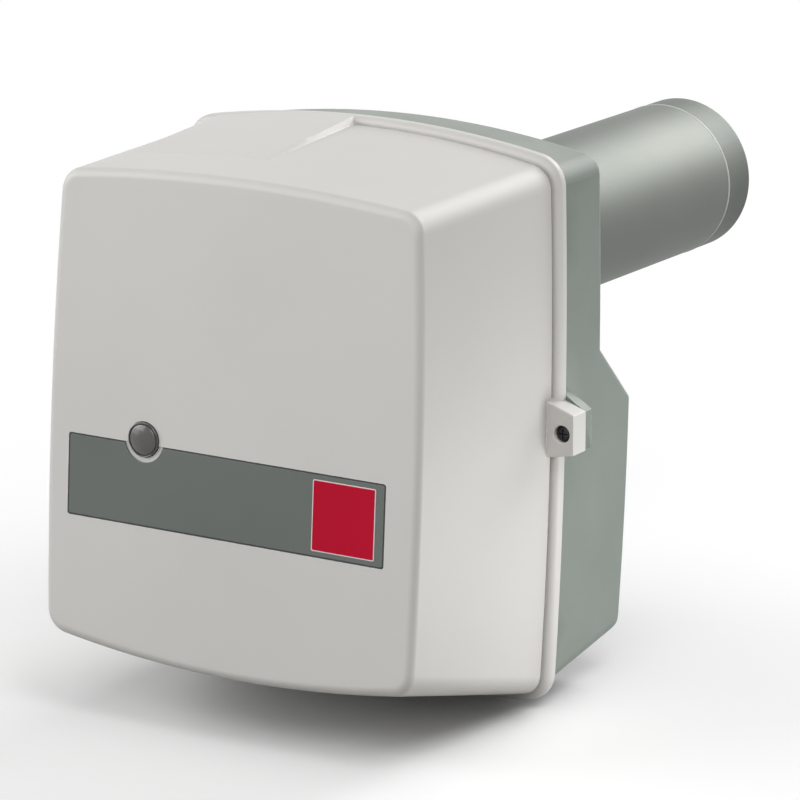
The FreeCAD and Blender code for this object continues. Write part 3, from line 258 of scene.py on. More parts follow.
grainLook = {
    "detail": 3.0,
    "roughness": 0.6,
    "driftSize": 9.0,
    "driftDetail": 4.0,
    "driftFrom": 0.35,  # the slow noise goes from the first tone to the second between these values
    "driftTo": 0.65,
    "glossSpread": 0.08,  # how far the fine noise moves the roughness
}
edgeLook = {"samples": 4, "flat": 0.995, "sharp": 0.90, "raggedFrom": 0.38, "raggedTo": 0.62}
dustLook = {"steepest": 0.25, "detail": 6.0, "tone": (214, 212, 206)}


def makeGrainGroup(look):
    # two noises of different size make the fine relief and a slow drift of tone
    group, start, end = newGroup(
        "surfaceGrain",
        [("Size", "NodeSocketFloat", 900.0), ("Stretch", "NodeSocketVector", (1.0, 1.0, 1.0))],
        [("Relief", "NodeSocketFloat"), ("Drift", "NodeSocketFloat")],
    )
    spot = addNode(group, "TexCoord")
    scaled = addNode(group, "VectorMath", operation="MULTIPLY")
    fine = addNode(group, "TexNoise", {"Detail": look["detail"], "Roughness": look["roughness"]})
    slow = addNode(group, "TexNoise", {"Scale": look["driftSize"], "Detail": look["driftDetail"]})
    wire(
        group,
        (spot.outputs["Object"], scaled.inputs[0]),
        (start.outputs["Stretch"], scaled.inputs[1]),
        (scaled.outputs["Vector"], fine.inputs["Vector"]),
        (start.outputs["Size"], fine.inputs["Scale"]),
        (spot.outputs["Object"], slow.inputs["Vector"]),
        (fine.outputs["Fac"], end.inputs["Relief"]),
        (slow.outputs["Fac"], end.inputs["Drift"]),
    )
    return group


def makeEdgeGroup(look):
    # where the rounded normal leaves the true one there is an edge; noise breaks the mask up. Its tone is
    # wear on most finishes and painted shade round the button's groove and rim
    group, start, end = newGroup(
        "edgeWearAndShade",
        [("Reach", "NodeSocketFloat", 0.0008), ("Ragged", "NodeSocketFloat", 250.0)],
        [("Mask", "NodeSocketFloat")],
    )
    bevel = addNode(group, "Bevel", samples=look["samples"])
    plain = addNode(group, "NewGeometry")
    dot = addNode(group, "VectorMath", operation="DOT_PRODUCT")
    ramp = addNode(group, "MapRange", {"From Min": look["flat"], "From Max": look["sharp"]})
    spot = addNode(group, "TexCoord")
    noise = addNode(group, "TexNoise")
    cut = addNode(group, "MapRange", {"From Min": look["raggedFrom"], "From Max": look["raggedTo"]})
    both = addNode(group, "Math", operation="MULTIPLY")
    wire(
        group,
        (start.outputs["Reach"], bevel.inputs["Radius"]),
        (bevel.outputs["Normal"], dot.inputs[0]),
        (plain.outputs["Normal"], dot.inputs[1]),
        (dot.outputs["Value"], ramp.inputs["Value"]),
        (spot.outputs["Object"], noise.inputs["Vector"]),
        (start.outputs["Ragged"], noise.inputs["Scale"]),
        (noise.outputs["Fac"], cut.inputs["Value"]),
        (ramp.outputs["Result"], both.inputs[0]),
        (cut.outputs["Result"], both.inputs[1]),
        (both.outputs[0], end.inputs["Mask"]),
    )
    return group


def makeDustGroup(look):
    # dust settles on what faces up, in soft patches
    group, start, end = newGroup(
        "dustFilm", [("Patch", "NodeSocketFloat", 22.0)], [("Mask", "NodeSocketFloat")]
    )
    plain = addNode(group, "NewGeometry")
    parts = addNode(group, "SeparateXYZ")
    up = addNode(group, "MapRange", {"From Min": look["steepest"], "From Max": 1.0})
    spot = addNode(group, "TexCoord")
    noise = addNode(group, "TexNoise", {"Detail": look["detail"]})
    both = addNode(group, "Math", operation="MULTIPLY")
    wire(
        group,
        (plain.outputs["Normal"], parts.inputs[0]),
        (parts.outputs["Z"], up.inputs["Value"]),
        (spot.outputs["Object"], noise.inputs["Vector"]),
        (start.outputs["Patch"], noise.inputs["Scale"]),
        (up.outputs["Result"], both.inputs[0]),
        (noise.outputs["Fac"], both.inputs[1]),
        (both.outputs[0], end.inputs["Mask"]),
    )
    return group


grainGroup = makeGrainGroup(grainLook)
edgeGroup = makeEdgeGroup(edgeLook)
dustGroup = makeDustGroup(dustLook)


# ---- materials ----

def linear(rgb):
    # screen colour from 0 to 255, turned to the linear values that a shader takes
    c = np.array(rgb, float) / 255
    lin = np.where(c <= 0.04045, c / 12.92, ((c + 0.055) / 1.055) ** 2.4)
    return (*[float(v) for v in lin], 1.0)


def overlay(tree, below, mask, rgb):
    # the colour below, turned to another one by the mask
    mix = addNode(tree, "Mix", {"B": linear(rgb)}, data_type="RGBA")
    wire(tree, (mask, mix.inputs["Factor"]), (below, mix.inputs["A"]))
    return mix.outputs["Result"]


def makeMaterial(name, tone, drift, rough, metal=0.0, grain=900.0, stretch=(1, 1, 1), relief=0.1,
                 reach=0.00006, edge=None, edgeReach=0.0008, coat=0.0, dust=0.0, specular=0.5):
    # tone drifts to a second tone, dust lies on what faces up, edges turn to a third tone, and the
    # fine grain raises a relief and spreads the roughness
    mat = bpy.data.materials.new(name)
    mat.use_nodes = True
    tree = mat.node_tree
    shader = tree.nodes["Principled BSDF"]
    shader.inputs["Metallic"].default_value = metal
    shader.inputs["Specular IOR Level"].default_value = specular
    shader.inputs["Coat Weight"].default_value = coat
    shader.inputs["Coat Roughness"].default_value = 0.08
    grains = addNode(tree, "Group", node_tree=grainGroup)
    grains.inputs["Size"].default_value = grain
    grains.inputs["Stretch"].default_value = stretch
    spread = addNode(tree, "MapRange", {"From Min": grainLook["driftFrom"], "From Max": grainLook["driftTo"]})
    colour = addNode(tree, "Mix", {"A": linear(tone), "B": linear(drift)}, data_type="RGBA")
    wire(
        tree,
        (grains.outputs["Drift"], spread.inputs["Value"]),
        (spread.outputs["Result"], colour.inputs["Factor"]),
    )
    last = colour.outputs["Result"]
    if dust:
        patches = addNode(tree, "Group", node_tree=dustGroup)
        level = addNode(tree, "Math", {1: dust}, operation="MULTIPLY")
        wire(tree, (patches.outputs["Mask"], level.inputs[0]))
        last = overlay(tree, last, level.outputs[0], dustLook["tone"])
    if edge is not None:
        edges = addNode(tree, "Group", node_tree=edgeGroup)
        edges.inputs["Reach"].default_value = edgeReach
        last = overlay(tree, last, edges.outputs["Mask"], edge)
    low, high = max(rough - grainLook["glossSpread"], 0.03), min(rough + grainLook["glossSpread"], 1.0)
    gloss = addNode(tree, "MapRange", {"To Min": low, "To Max": high})
    bump = addNode(tree, "Bump", {"Strength": relief, "Distance": reach})
    wire(
        tree,
        (last, shader.inputs["Base Color"]),
        (grains.outputs["Relief"], gloss.inputs["Value"]),
        (gloss.outputs["Result"], shader.inputs["Roughness"]),
        (grains.outputs["Relief"], bump.inputs["Height"]),
        (bump.outputs["Normal"], shader.inputs["Normal"]),
    )
    return mat


finishes = {
    "hood_plastic": dict(tone=(202, 200, 196), drift=(199, 197, 193), rough=0.48, grain=1500.0,
                         relief=0.22, edge=(230, 229, 226), edgeReach=0.0007, dust=0.12),
    "casing_paint": dict(tone=(118, 126, 119), drift=(127, 135, 128), rough=0.52, specular=0.3, grain=700.0,
                         relief=0.5, reach=0.00012, edge=(176, 180, 174), edgeReach=0.001, dust=0.35),
    "tube_steel": dict(tone=(113, 116, 111), drift=(107, 111, 106), rough=0.56, metal=0.85, specular=0.3,
                       grain=420.0, stretch=(1, 14, 1), relief=0.12, edge=(150, 153, 149)),
    "ring_steel": dict(tone=(106, 110, 105), drift=(90, 94, 90), rough=0.56, metal=0.85, specular=0.3,
                       grain=1100.0, relief=0.9, reach=0.0002, edge=(78, 80, 78)),
    # pale tone of the seam bead: a painted highlight
    "seamPaintedHighlight": dict(tone=(186, 187, 182), drift=(178, 179, 174), rough=0.5, metal=0.2, specular=0.3,
                       grain=900.0, relief=0.2),
    "strip_plastic": dict(tone=(100, 106, 101), drift=(96, 102, 97), rough=0.5, specular=0.3, grain=1700.0,
                          relief=0.2, edge=(120, 125, 120)),
    "badge_red": dict(tone=(184, 8, 44), drift=(174, 6, 40), rough=0.42, specular=0.12, grain=900.0,
                      relief=0.05, edge=(204, 40, 70)),
    # the button's darker edge tone is painted shade round its groove and rim
    "button_smoke": dict(tone=(72, 70, 69), drift=(60, 58, 57), rough=0.26, grain=700.0, relief=0.04,
                         edge=(44, 43, 42), coat=0.5),
    "lockout_red": dict(tone=(176, 40, 34), drift=(164, 34, 30), rough=0.3, grain=800.0, relief=0.06,
                        coat=0.3),
    "black_plastic": dict(tone=(44, 45, 47), drift=(38, 39, 41), rough=0.52, grain=1300.0, relief=0.3,
                          edge=(74, 75, 77), dust=0.18),
    "badge_frame": dict(tone=(226, 214, 215), drift=(220, 206, 208), rough=0.5, relief=0.1),
    # dark tone of the hood screws is painted shade in the deep lug holes
    "hood_screw": dict(tone=(52, 53, 55), drift=(40, 41, 43), rough=0.42, metal=0.7, grain=600.0, relief=0.1,
                       edge=(84, 85, 87)),
    "spring_steel": dict(tone=(170, 172, 175), drift=(150, 152, 156), rough=0.24, metal=1.0, relief=0.05),
    "screw_steel": dict(tone=(158, 160, 163), drift=(140, 142, 146), rough=0.34, metal=1.0,
                        grain=600.0, relief=0.1, edge=(200, 202, 205)),
    "zinc_plate": dict(tone=(176, 178, 176), drift=(152, 157, 160), rough=0.38, metal=0.9,
                       grain=260.0, relief=0.1, edge=(206, 208, 206), dust=0.25),
    "cast_aluminium": dict(tone=(170, 171, 170), drift=(150, 152, 152), rough=0.52, metal=0.8,
                           grain=900.0, relief=0.7, reach=0.00012, edge=(206, 207, 206), dust=0.25),
    "motor_paint": dict(tone=(60, 64, 68), drift=(54, 58, 62), rough=0.42, grain=1100.0, relief=0.25,
                        edge=(110, 114, 118), dust=0.3),
    "lamination_steel": dict(tone=(122, 123, 126), drift=(104, 105, 108), rough=0.5, metal=0.9,
                             grain=800.0, stretch=(1, 9, 1), relief=0.5),
    "bearing_steel": dict(tone=(190, 192, 195), drift=(176, 178, 181), rough=0.18, metal=1.0, relief=0.05),
    "fan_steel": dict(tone=(178, 181, 183), drift=(150, 156, 160), rough=0.36, metal=0.95,
                      grain=180.0, relief=0.08, edge=(206, 208, 210)),
    "scroll_steel": dict(tone=(150, 156, 150), drift=(140, 147, 141), rough=0.5, relief=0.3),
    "coupling_plastic": dict(tone=(206, 160, 66), drift=(192, 146, 56), rough=0.4, relief=0.15,
                             edge=(226, 186, 98)),
    "pump_iron": dict(tone=(104, 106, 108), drift=(88, 90, 92), rough=0.48, metal=0.75, grain=650.0,
                      relief=0.7, reach=0.00014, edge=(160, 162, 164), dust=0.25),
    "coil_black": dict(tone=(34, 35, 37), drift=(29, 30, 32), rough=0.4, relief=0.2, edge=(70, 71, 73),
                       dust=0.15),
    "control_plastic": dict(tone=(50, 51, 54), drift=(44, 45, 48), rough=0.48, grain=1300.0, relief=0.3,
                            edge=(82, 83, 86), dust=0.2),
    "trafo_body": dict(tone=(46, 50, 54), drift=(40, 44, 48), rough=0.36, relief=0.15, edge=(92, 96, 100),
                       dust=0.25),
    "lead_rubber": dict(tone=(158, 66, 50), drift=(146, 58, 44), rough=0.55, relief=0.2),
    "grommet_rubber": dict(tone=(38, 38, 40), drift=(32, 32, 34), rough=0.6, relief=0.25),
    "brass_part": dict(tone=(204, 172, 102), drift=(184, 150, 84), rough=0.28, metal=1.0, relief=0.08,
                       edge=(228, 204, 146)),
    "copper_pipe": dict(tone=(200, 130, 88), drift=(172, 104, 68), rough=0.26, metal=1.0, relief=0.06),
    "head_steel": dict(tone=(158, 153, 146), drift=(122, 116, 118), rough=0.34, metal=1.0,
                       grain=300.0, relief=0.12, edge=(190, 186, 178)),
    "electrode_ceramic": dict(tone=(236, 232, 222), drift=(228, 222, 208), rough=0.22, relief=0.05,
                              coat=0.4),
    "damper_zinc": dict(tone=(170, 172, 172), drift=(154, 157, 158), rough=0.42, metal=0.85, relief=0.2),
    "gland_plastic": dict(tone=(112, 114, 114), drift=(102, 104, 104), rough=0.5, relief=0.25,
                          edge=(146, 148, 148), dust=0.15),
}
materials = {slot: makeMaterial(slot + "_look", **look) for slot, look in finishes.items()}
print("materials made:", len(materials))


# ---- helpers for meshes, in millimetres ----

def newObject(name, points, faces):
    # a mesh object from points and rows of point numbers
    mesh = bpy.data.meshes.new(name)
    mesh.from_pydata((np.asarray(points, float) * mm).tolist(), [], faces)
    mesh.update()
    obj = bpy.data.objects.new(name, mesh)
    bpy.context.scene.collection.objects.link(obj)
    return obj


def pointOutward(obj):
    # points in one place become one, and all faces turn outward
    bm = bmesh.new()
    bm.from_mesh(obj.data)
    bmesh.ops.remove_doubles(bm, verts=bm.verts, dist=1e-6)
    bmesh.ops.recalc_face_normals(bm, faces=bm.faces)
    bm.to_mesh(obj.data)
    bm.free()
    return obj


def gridFaces(rows, cols, wrapCols=True, wrapRows=False):
    # quads between neighbouring rows and columns; a point's number is its row times the columns
    # plus its column, and the last row or column can be followed by the first
    r = np.arange(rows if wrapRows else rows - 1)
    c = np.arange(cols if wrapCols else cols - 1)
    row, col = np.meshgrid(r, c, indexing="ij")
    nextRow, nextCol = (row + 1) % rows, (col + 1) % cols
    corners = [row * cols + col, row * cols + nextCol, nextRow * cols + nextCol, nextRow * cols + col]
    return np.stack(corners, -1).reshape(-1, 4).tolist()


def gridObject(name, grid, capStart=True, capEnd=True, wrapRows=False):
    # a grid of rows that each close on themselves, with a flat face over its first and last row
    rows, cols = grid.shape[:2]
    faces = gridFaces(rows, cols, True, wrapRows)
    if not wrapRows and capStart:
        faces.append(list(range(cols))[::-1])
    if not wrapRows and capEnd:
        faces.append([(rows - 1) * cols + i for i in range(cols)])
    return pointOutward(newObject(name, grid.reshape(-1, 3), faces))


def lathe(name, profile, centre=(0, 0), turns=96):
    # radius and depth pairs carried round an axis along Y: x is the radius times the angle's cosine
    # and z times its sine; a profile that ends where it starts makes a ring
    profile = np.array(profile, float)
    ringShaped = bool(np.allclose(profile[0], profile[-1]))
    if ringShaped:
        profile = profile[:-1]
    angle = np.linspace(0, 2 * math.pi, turns, endpoint=False)
    radius = profile[:, :1] * np.ones((1, turns))
    x = centre[0] + radius * np.cos(angle)
    z = centre[1] + radius * np.sin(angle)
    y = profile[:, 1:2] * np.ones((1, turns))
    ends = [profile[0, 0] > 1e-6, profile[-1, 0] > 1e-6]
    return gridObject(name, np.stack([x, y, z], -1), ends[0], ends[1], ringShaped)


def prism(name, points, y0, y1):
    # a front outline of x and z pairs, drawn from one depth to another
    n = len(points)
    low = [(x, y0, z) for x, z in points]
    high = [(x, y1, z) for x, z in points]
    faces = [list(range(n)), [2 * n - 1 - i for i in range(n)]]
    faces += [[i, n + i, n + (i + 1) % n, (i + 1) % n] for i in range(n)]
    return pointOutward(newObject(name, low + high, faces))


def quarterTurn(steps):
    # even angles from nought to a quarter turn
    return np.linspace(0, math.pi / 2, steps)


def roundedOutline(x0, x1, z0, z1, radius, steps=6):
    # a rectangle's outline with quarter-circle corners
    rows = []
    for i, (cx, cz) in enumerate(((x1, z1), (x0, z1), (x0, z0), (x1, z0))):
        a = quarterTurn(steps) + i * math.pi / 2
        ox = cx - radius * (1 if cx == x1 else -1)
        oz = cz - radius * (1 if cz == z1 else -1)
        rows.append(np.stack([ox + radius * np.cos(a), oz + radius * np.sin(a)], -1))
    return np.concatenate(rows)


def roundedBlock(name, x0, x1, y0, y1, z0, z1, radius, edge, steps=4):
    # rounded outlines at a row of depths; the front ones draw in as a quarter circle
    rounding = [(y0 + edge * (1 - math.sin(t)), edge * (1 - math.cos(t))) for t in quarterTurn(steps)[::-1]]
    rows = []
    for y, inset in rounding + [(y1, 0.0)]:
        flat = roundedOutline(x0 + inset, x1 - inset, z0 + inset, z1 - inset, radius - inset)
        rows.append(np.insert(flat, 1, y, axis=1))
    return gridObject(name, np.array(rows))


def boxCutter(x0, x1, y0, y1, z0, z1):
    # a block between two values on each axis
    return prism("cutter", [(x0, z0), (x1, z0), (x1, z1), (x0, z1)], y0, y1)


def rodCutter(radius, y0, y1, x, z):
    # a round rod along Y
    return lathe("cutter", [(radius, y0), (radius, y1)], (x, z), 64)


def smoothShade(obj, angle=32.0, weighted=True):
    # edges over the angle stay sharp; large faces keep their own normals
    obj.data.polygons.foreach_set("use_smooth", np.ones(len(obj.data.polygons), bool))
    obj.data.set_sharp_from_angle(angle=math.radians(angle))
    if weighted:
        mod = obj.modifiers.new("evenNormals", "WEIGHTED_NORMAL")
        mod.keep_sharp = True
        mod.weight = 90
    return obj


def bevelEdges(obj, width, segments=2, angle=30.0):
    # rounds every edge that turns by more than the angle
    mod = obj.modifiers.new("softEdges", "BEVEL")
    mod.width = width * mm
    mod.segments = segments
    mod.limit_method = "ANGLE"
    mod.angle_limit = math.radians(angle)
    return obj


def cutWith(obj, cutters):
    # cuts shapes out of a piece, then removes the cutters
    for cutter in cutters:
        mod = obj.modifiers.new("cut", "BOOLEAN")
        mod.operation = "DIFFERENCE"
        mod.solver = "EXACT"
        mod.object = cutter
    graph = bpy.context.evaluated_depsgraph_get()
    mesh = bpy.data.meshes.new_from_object(obj.evaluated_get(graph))
    obj.modifiers.clear()
    obj.data = mesh
    for cutter in cutters:
        bpy.data.objects.remove(cutter)
    return obj


def joined(name, objects):
    # one piece from several that share a material
    bm = bmesh.new()
    graph = bpy.context.evaluated_depsgraph_get()
    for obj in objects:
        mesh = bpy.data.meshes.new_from_object(obj.evaluated_get(graph))
        bm.from_mesh(mesh)
        bpy.data.objects.remove(obj)
    mesh = bpy.data.meshes.new(name)
    bm.to_mesh(mesh)
    bm.free()
    obj = bpy.data.objects.new(name, mesh)
    bpy.context.scene.collection.objects.link(obj)
    return obj


def dress(obj, slot, body, replaced=(), look=None):
    # a piece takes its slot's material, or another look where it differs from the slot's others
    obj.data.materials.clear()
    obj.data.materials.append(materials[look or slot])
    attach(obj, body)
    if replaced:
        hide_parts(*replaced)
    return obj


# ---- hood ----

hoodShape = {
    # half width at the top and bottom, bow of the sides, top and its bow, bottom and its bow
    "rear": (114.0, 109.3, 3.5, 75.2, 11.8, -213.5, 6.0),
    "face": (111.3, 115.5, 3.0, 73.4, 6.2, -174.5, 10.0),
    "faceY": -185.7,
    "lean": 3.7,  # degrees that the face leans back, about its middle height
    "midZ": -50.0,
    "wall": 3.0,
    "corner": 13.0,
    "edge": 4.5,
    "edgeSteps": 15,
    "margin": 0.6,  # flat band of the face just inside its rounded edge
    "sideSteps": 26,
    "groove": 1.6,
    "grooveDepth": 2.2,
    "grooveRun": 0.3,
    "grooveInset": 0.25,
    "rimY": -51.3,
    "rimFoot": 0.4,
    "slope": 4.0,
    "proud": 4.0,
    "lip": 0.5,
    "rearY": -44.3,
    "step": 0.5,
    "innerStart": 0.96,
}


def circleThrough(a, b, c):
    # centre and radius of the circle through three points of a plane
    d = 2 * (a[0] * (b[1] - c[1]) + b[0] * (c[1] - a[1]) + c[0] * (a[1] - b[1]))
    x = ((a @ a) * (b[1] - c[1]) + (b @ b) * (c[1] - a[1]) + (c @ c) * (a[1] - b[1])) / d
    z = ((a @ a) * (c[0] - b[0]) + (b @ b) * (a[0] - c[0]) + (c @ c) * (b[0] - a[0])) / d
    centre = np.array([x, z])
    return centre, float(np.linalg.norm(a - centre))


def circlesMeet(one, two, near):
    # the crossing of two circles that lies nearest to a point
    (c1, r1), (c2, r2) = one, two
    d = np.linalg.norm(c2 - c1)
    along = (r1 * r1 - r2 * r2 + d * d) / (2 * d)
    across = math.sqrt(max(r1 * r1 - along * along, 0.0))
    u = (c2 - c1) / d
    v = np.array([-u[1], u[0]])
    spots = [c1 + u * along + v * across, c1 + u * along - v * across]
    return min(spots, key=lambda p: float(np.linalg.norm(p - near)))


def arcPoints(centre, start, end, count):
    # points at even angles on the short way from start to end, without the end itself
    a0 = math.atan2(*(start - centre)[::-1])
    a1 = math.atan2(*(end - centre)[::-1])
    sweep = (a1 - a0 + math.pi) % (2 * math.pi) - math.pi
    angle = a0 + sweep * np.linspace(0, 1, count, endpoint=False)
    radius = np.linalg.norm(start - centre)
    return centre + radius * np.stack([np.cos(angle), np.sin(angle)], -1)


def outline(size, grow, radius, sideCount=44, cornerCount=12):
    # four bowed sides as circular arcs, joined by corner arcs that are tangent to both
    halfTop, halfBottom, sideBow, top, topBow, bottom, bottomBow = size
    a, b, t, u = halfTop + grow, halfBottom + grow, top + grow, bottom - grow
    side, middle = (a + b) / 2 + sideBow, (t + u) / 2
    corners = np.array([(-a, t), (a, t), (b, u), (-b, u)], float)
    middles = np.array([(0, t + topBow), (side, middle), (0, u - bottomBow), (-side, middle)], float)
    sides = [circleThrough(corners[i], middles[i], corners[(i + 1) % 4]) for i in range(4)]
    joins = []
    for i in range(4):
        before, after = sides[i - 1], sides[i]
        centre = circlesMeet((before[0], before[1] - radius), (after[0], after[1] - radius), corners[i])
        ends = []
        for sideCentre, reach in (before, after):
            way = (centre - sideCentre) / np.linalg.norm(centre - sideCentre)
            ends.append(sideCentre + way * reach)
        joins.append((centre, ends[0], ends[1]))
    rows = []
    for i in range(4):
        centre, start, end = joins[i]
        rows.append(arcPoints(centre, start, end, cornerCount))
        rows.append(arcPoints(sides[i][0], end, joins[(i + 1) % 4][1], sideCount))
    return np.concatenate(rows)


def hoodRing(shape, share, grow, radius, lift=0.0):
    # outline at a share of the way from the leaning face to the rim
    size = [f + share * (r - f) for f, r in zip(shape["face"], shape["rear"])]
    flat = outline(size, grow, radius)
    face = shape["faceY"] + lift + math.tan(math.radians(shape["lean"])) * (flat[:, 1] - shape["midZ"])
    depth = face + share * (shape["rimY"] - face)
    return np.stack([flat[:, 0], depth, flat[:, 1]], -1)


def rearRing(shape, y, grow):
    # the rear outline, grown or shrunk, at one depth
    flat = outline(shape["rear"], grow, shape["corner"] + grow)
    return np.stack([flat[:, 0], np.full(len(flat), float(y)), flat[:, 1]], -1)


def makeHoodShell(shape):
    # rings run from the face over its rounded edge, along the side, through groove and rim, and
    # back inside to the inner face; each rounding moves by one less sine and one less cosine
    length = shape["rimY"] - shape["faceY"]
    corner, edge, wall = shape["corner"], shape["edge"], shape["wall"]
    inset = edge + shape["margin"]
    rings = [hoodRing(shape, 0, -inset, corner - inset)]
    for turn in quarterTurn(shape["edgeSteps"]):
        inset = edge * (1 - math.sin(turn))
        share = edge * (1 - math.cos(turn)) / length
        rings.append(hoodRing(shape, share, -inset, corner - inset))

    grooveY, rimY, rearY = shape["rimY"] - shape["groove"], shape["rimY"], shape["rearY"]
    last = (grooveY - shape["grooveRun"] - shape["faceY"]) / length
    for share in np.linspace(edge / length, last, shape["sideSteps"])[1:]:
        rings.append(hoodRing(shape, share, 0, corner))
    depth, proud, lip, foot = shape["grooveDepth"], shape["proud"], shape["lip"], shape["rimFoot"]
    rows = [(grooveY, -shape["grooveInset"]), (grooveY, -depth), (rimY, -depth), (rimY, foot)]
    for turn in quarterTurn(9)[1:]:
        rows.append((rimY + shape["slope"] * (1 - math.cos(turn)), foot + (proud - foot) * math.sin(turn)))
    for turn in quarterTurn(5):
        rows.append((rearY - lip * (1 - math.sin(turn)), proud - lip * (1 - math.cos(turn))))
    step = shape["step"] - wall
    rows += [(rearY, step), (rimY, step), (rimY, -wall)]
    rings += [rearRing(shape, y, grow) for y, grow in rows]

    innerEdge = edge - wall
    for share in np.linspace(shape["innerStart"], innerEdge / length, 8):
        rings.append(hoodRing(shape, share, -wall, corner - wall, wall))
    for turn in quarterTurn(5)[::-1][1:]:
        inset = innerEdge * (1 - math.sin(turn))
        share = innerEdge * (1 - math.cos(turn)) / length
        rings.append(hoodRing(shape, share, -wall - inset, corner - wall - inset, wall))
    return gridObject("hoodShell", np.array(rings))


def leaned(obj):
    # a piece made upright at the face's middle height turns back about that height with the face
    co = np.array([v.co for v in obj.data.vertices], float)
    angle = math.radians(-hoodShape["lean"])
    pivot = np.array([0, hoodShape["faceY"] * mm, hoodShape["midZ"] * mm])
    p = co - pivot
    y = p[:, 1] * math.cos(angle) - p[:, 2] * math.sin(angle)
    z = p[:, 1] * math.sin(angle) + p[:, 2] * math.cos(angle)
    obj.data.vertices.foreach_set("co", (np.stack([p[:, 0], y, z], -1) + pivot).astype(np.float32).ravel())
    obj.data.update()
    return obj


padShape = {
    "left": -98.0,
    "right": -10.6,
    "slopeEnd": -8.0,  # its right end slopes down to here
    "columns": 38,
    "frontY": -136.0,
    "rows": 26,
    "sink": 0.2,
    "depth": 1.5,
    "round": 0.35,
}


def makePad(s):
    # the raised wedge on the hood's top left: the top's bow, falling by the square of the distance
    # from the middle, plus a climb that grows evenly to the rear
    hood = hoodShape
    xs = np.append(np.linspace(s["left"], s["right"], s["columns"]), s["slopeEnd"])
    ys = np.linspace(s["frontY"], hood["rearY"] - 0.05, s["rows"])
    share = np.minimum(1, (ys - hood["faceY"]) / (hood["rimY"] - hood["faceY"]))[:, None]
    faceTop = hood["face"][3] + hood["face"][4] * (1 - (xs / hood["face"][0]) ** 2)
    rearTop = hood["rear"][3] + hood["rear"][4] * (1 - (xs / hood["rear"][0]) ** 2)
    base = faceTop + share * (rearTop - faceTop)
    climb = ((ys - ys[0]) / (ys[-1] - ys[0]))[:, None]
    top = base - s["sink"] + climb * (hood["proud"] + s["sink"])
    top[:, -1] = base[:, -1] - s["sink"]
    x = np.broadcast_to(xs, top.shape)
    y = np.broadcast_to(ys[:, None], top.shape)
    upper = np.stack([x, y, top], -1).reshape(-1, 3)
    under = np.stack([x, y, base - s["depth"]], -1).reshape(-1, 3)
    rows, cols = top.shape
    number = np.arange(rows * cols).reshape(rows, cols)
    faces = gridFaces(rows, cols, False)
    lower = [[len(upper) + i for i in face[::-1]] for face in faces]
    rim = np.concatenate([number[0], number[1:, -1], number[-1, -2::-1], number[-2:0:-1, 0]])
    ahead = np.roll(rim, -1)
    walls = np.stack([rim, len(upper) + rim, len(upper) + ahead, ahead], -1).tolist()
    pad = newObject("pad", np.concatenate([upper, under]), faces + lower + walls)
    return bevelEdges(pointOutward(pad), s["round"], 2, 40)


lugShape = {
    "x": 124.5,
    "z": -65.0,
    "root": 2,
    "reach": 7.2,
    "height": 22.0,
    "frontY": -57.5,
    "roof": 7.0,
    "hole": 2.7,
    "sink": 4.4,
    "head": 4.4,
    "headGap": 0.25,
    "round": 0.7,
}


def makeLug(side, s):
    # a tapered block on the rim, with a hole and a wider seat for the screw's head
    root, tip = hoodShape["rear"][0] - s["root"], s["x"] + s["reach"]
    top, low = s["z"] + s["height"] / 2, s["z"] - s["height"] / 2
    points = [(root, top + s["roof"]), (tip, top), (tip, low), (root, low - s["roof"] / 2)]
    lug = prism("lug", [(side * x, z) for x, z in points], s["frontY"], hoodShape["rearY"])
    x, front, over = side * s["x"], s["frontY"], 2
    wide = rodCutter(s["head"] + s["headGap"], front - over, front + s["sink"], x, s["z"])
    narrow = rodCutter(s["hole"], front, hoodShape["rearY"] + over, x, s["z"])
    return bevelEdges(cutWith(lug, [wide, narrow]), s["round"], 3, 25)


buttonShape = {
    "x": -54.0,
    "z": -64.0,
    "radius": 9.5,
    "faceY": -186.605,
    "proud": 2.6,
    "crown": 1.5,
    "dome": 0.84,  # share of the radius
    "groove": [(0.87, 0.3), (0.875, 0.8), (0.91, 0.8), (0.92, 0.2)],  # shares of the radius, and depths
    "rim": 0.5,
    "flange": (12.0, 4.2, 1.6),  # radius, distance behind the face, thickness
    "stem": (5.0, -178.3),  # radius, rear end
    "hole": 0.3,
    "ring": 12.3,  # radius of the strip's hole round it
    "cut": (-200, -180),
}
guideShape = {"outer": 16.0, "inner": 13.0, "front": 1.5, "rearY": -173.5, "chamfer": 0.4, "round": 0.1}


def buttonHole(radius):
    # a rod through the hood's face on the button's axis
    return rodCutter(radius, *buttonShape["cut"], buttonShape["x"], buttonShape["z"])


def makeGuide(s):
    # the tube behind the face that the button slides in
    out, inner, c = s["outer"], s["inner"], s["chamfer"]
    y0, y1 = buttonShape["faceY"] + s["front"], s["rearY"]
    profile = [(inner, y0), (out, y0), (out, y1 - c), (out - c, y1), (inner + c, y1), (inner, y1 - c)]
    profile.append(profile[0])
    return bevelEdges(lathe("guide", profile, (buttonShape["x"], buttonShape["z"]), 72), s["round"])


stripShape = {
    "left": -102.4,
    "right": 96.9,
    "top": -66.3,
    "bottom": -111.0,
    "depth": 0.8,
    "gap": 1.0,
    "corner": 1.6,
    "rise": 0.05,
    "round": 0.15,
    "badge": (52.5, 91.0, -107.6, -69.7),
    "badgeCorner": 0.9,
    "badgeSeat": 0.45,
}


def stripOutline(s, gap, corner):
    # the strip's pocket, drawn in by a gap
    return roundedOutline(s["left"] + gap, s["right"] - gap, s["bottom"] + gap, s["top"] - gap, corner)


def makePocket(s):
    # what the strip's pocket takes out of the face
    y = hoodShape["faceY"]
    return leaned(prism("cutter", stripOutline(s, 0, s["corner"]), y - 2, y + s["depth"]))


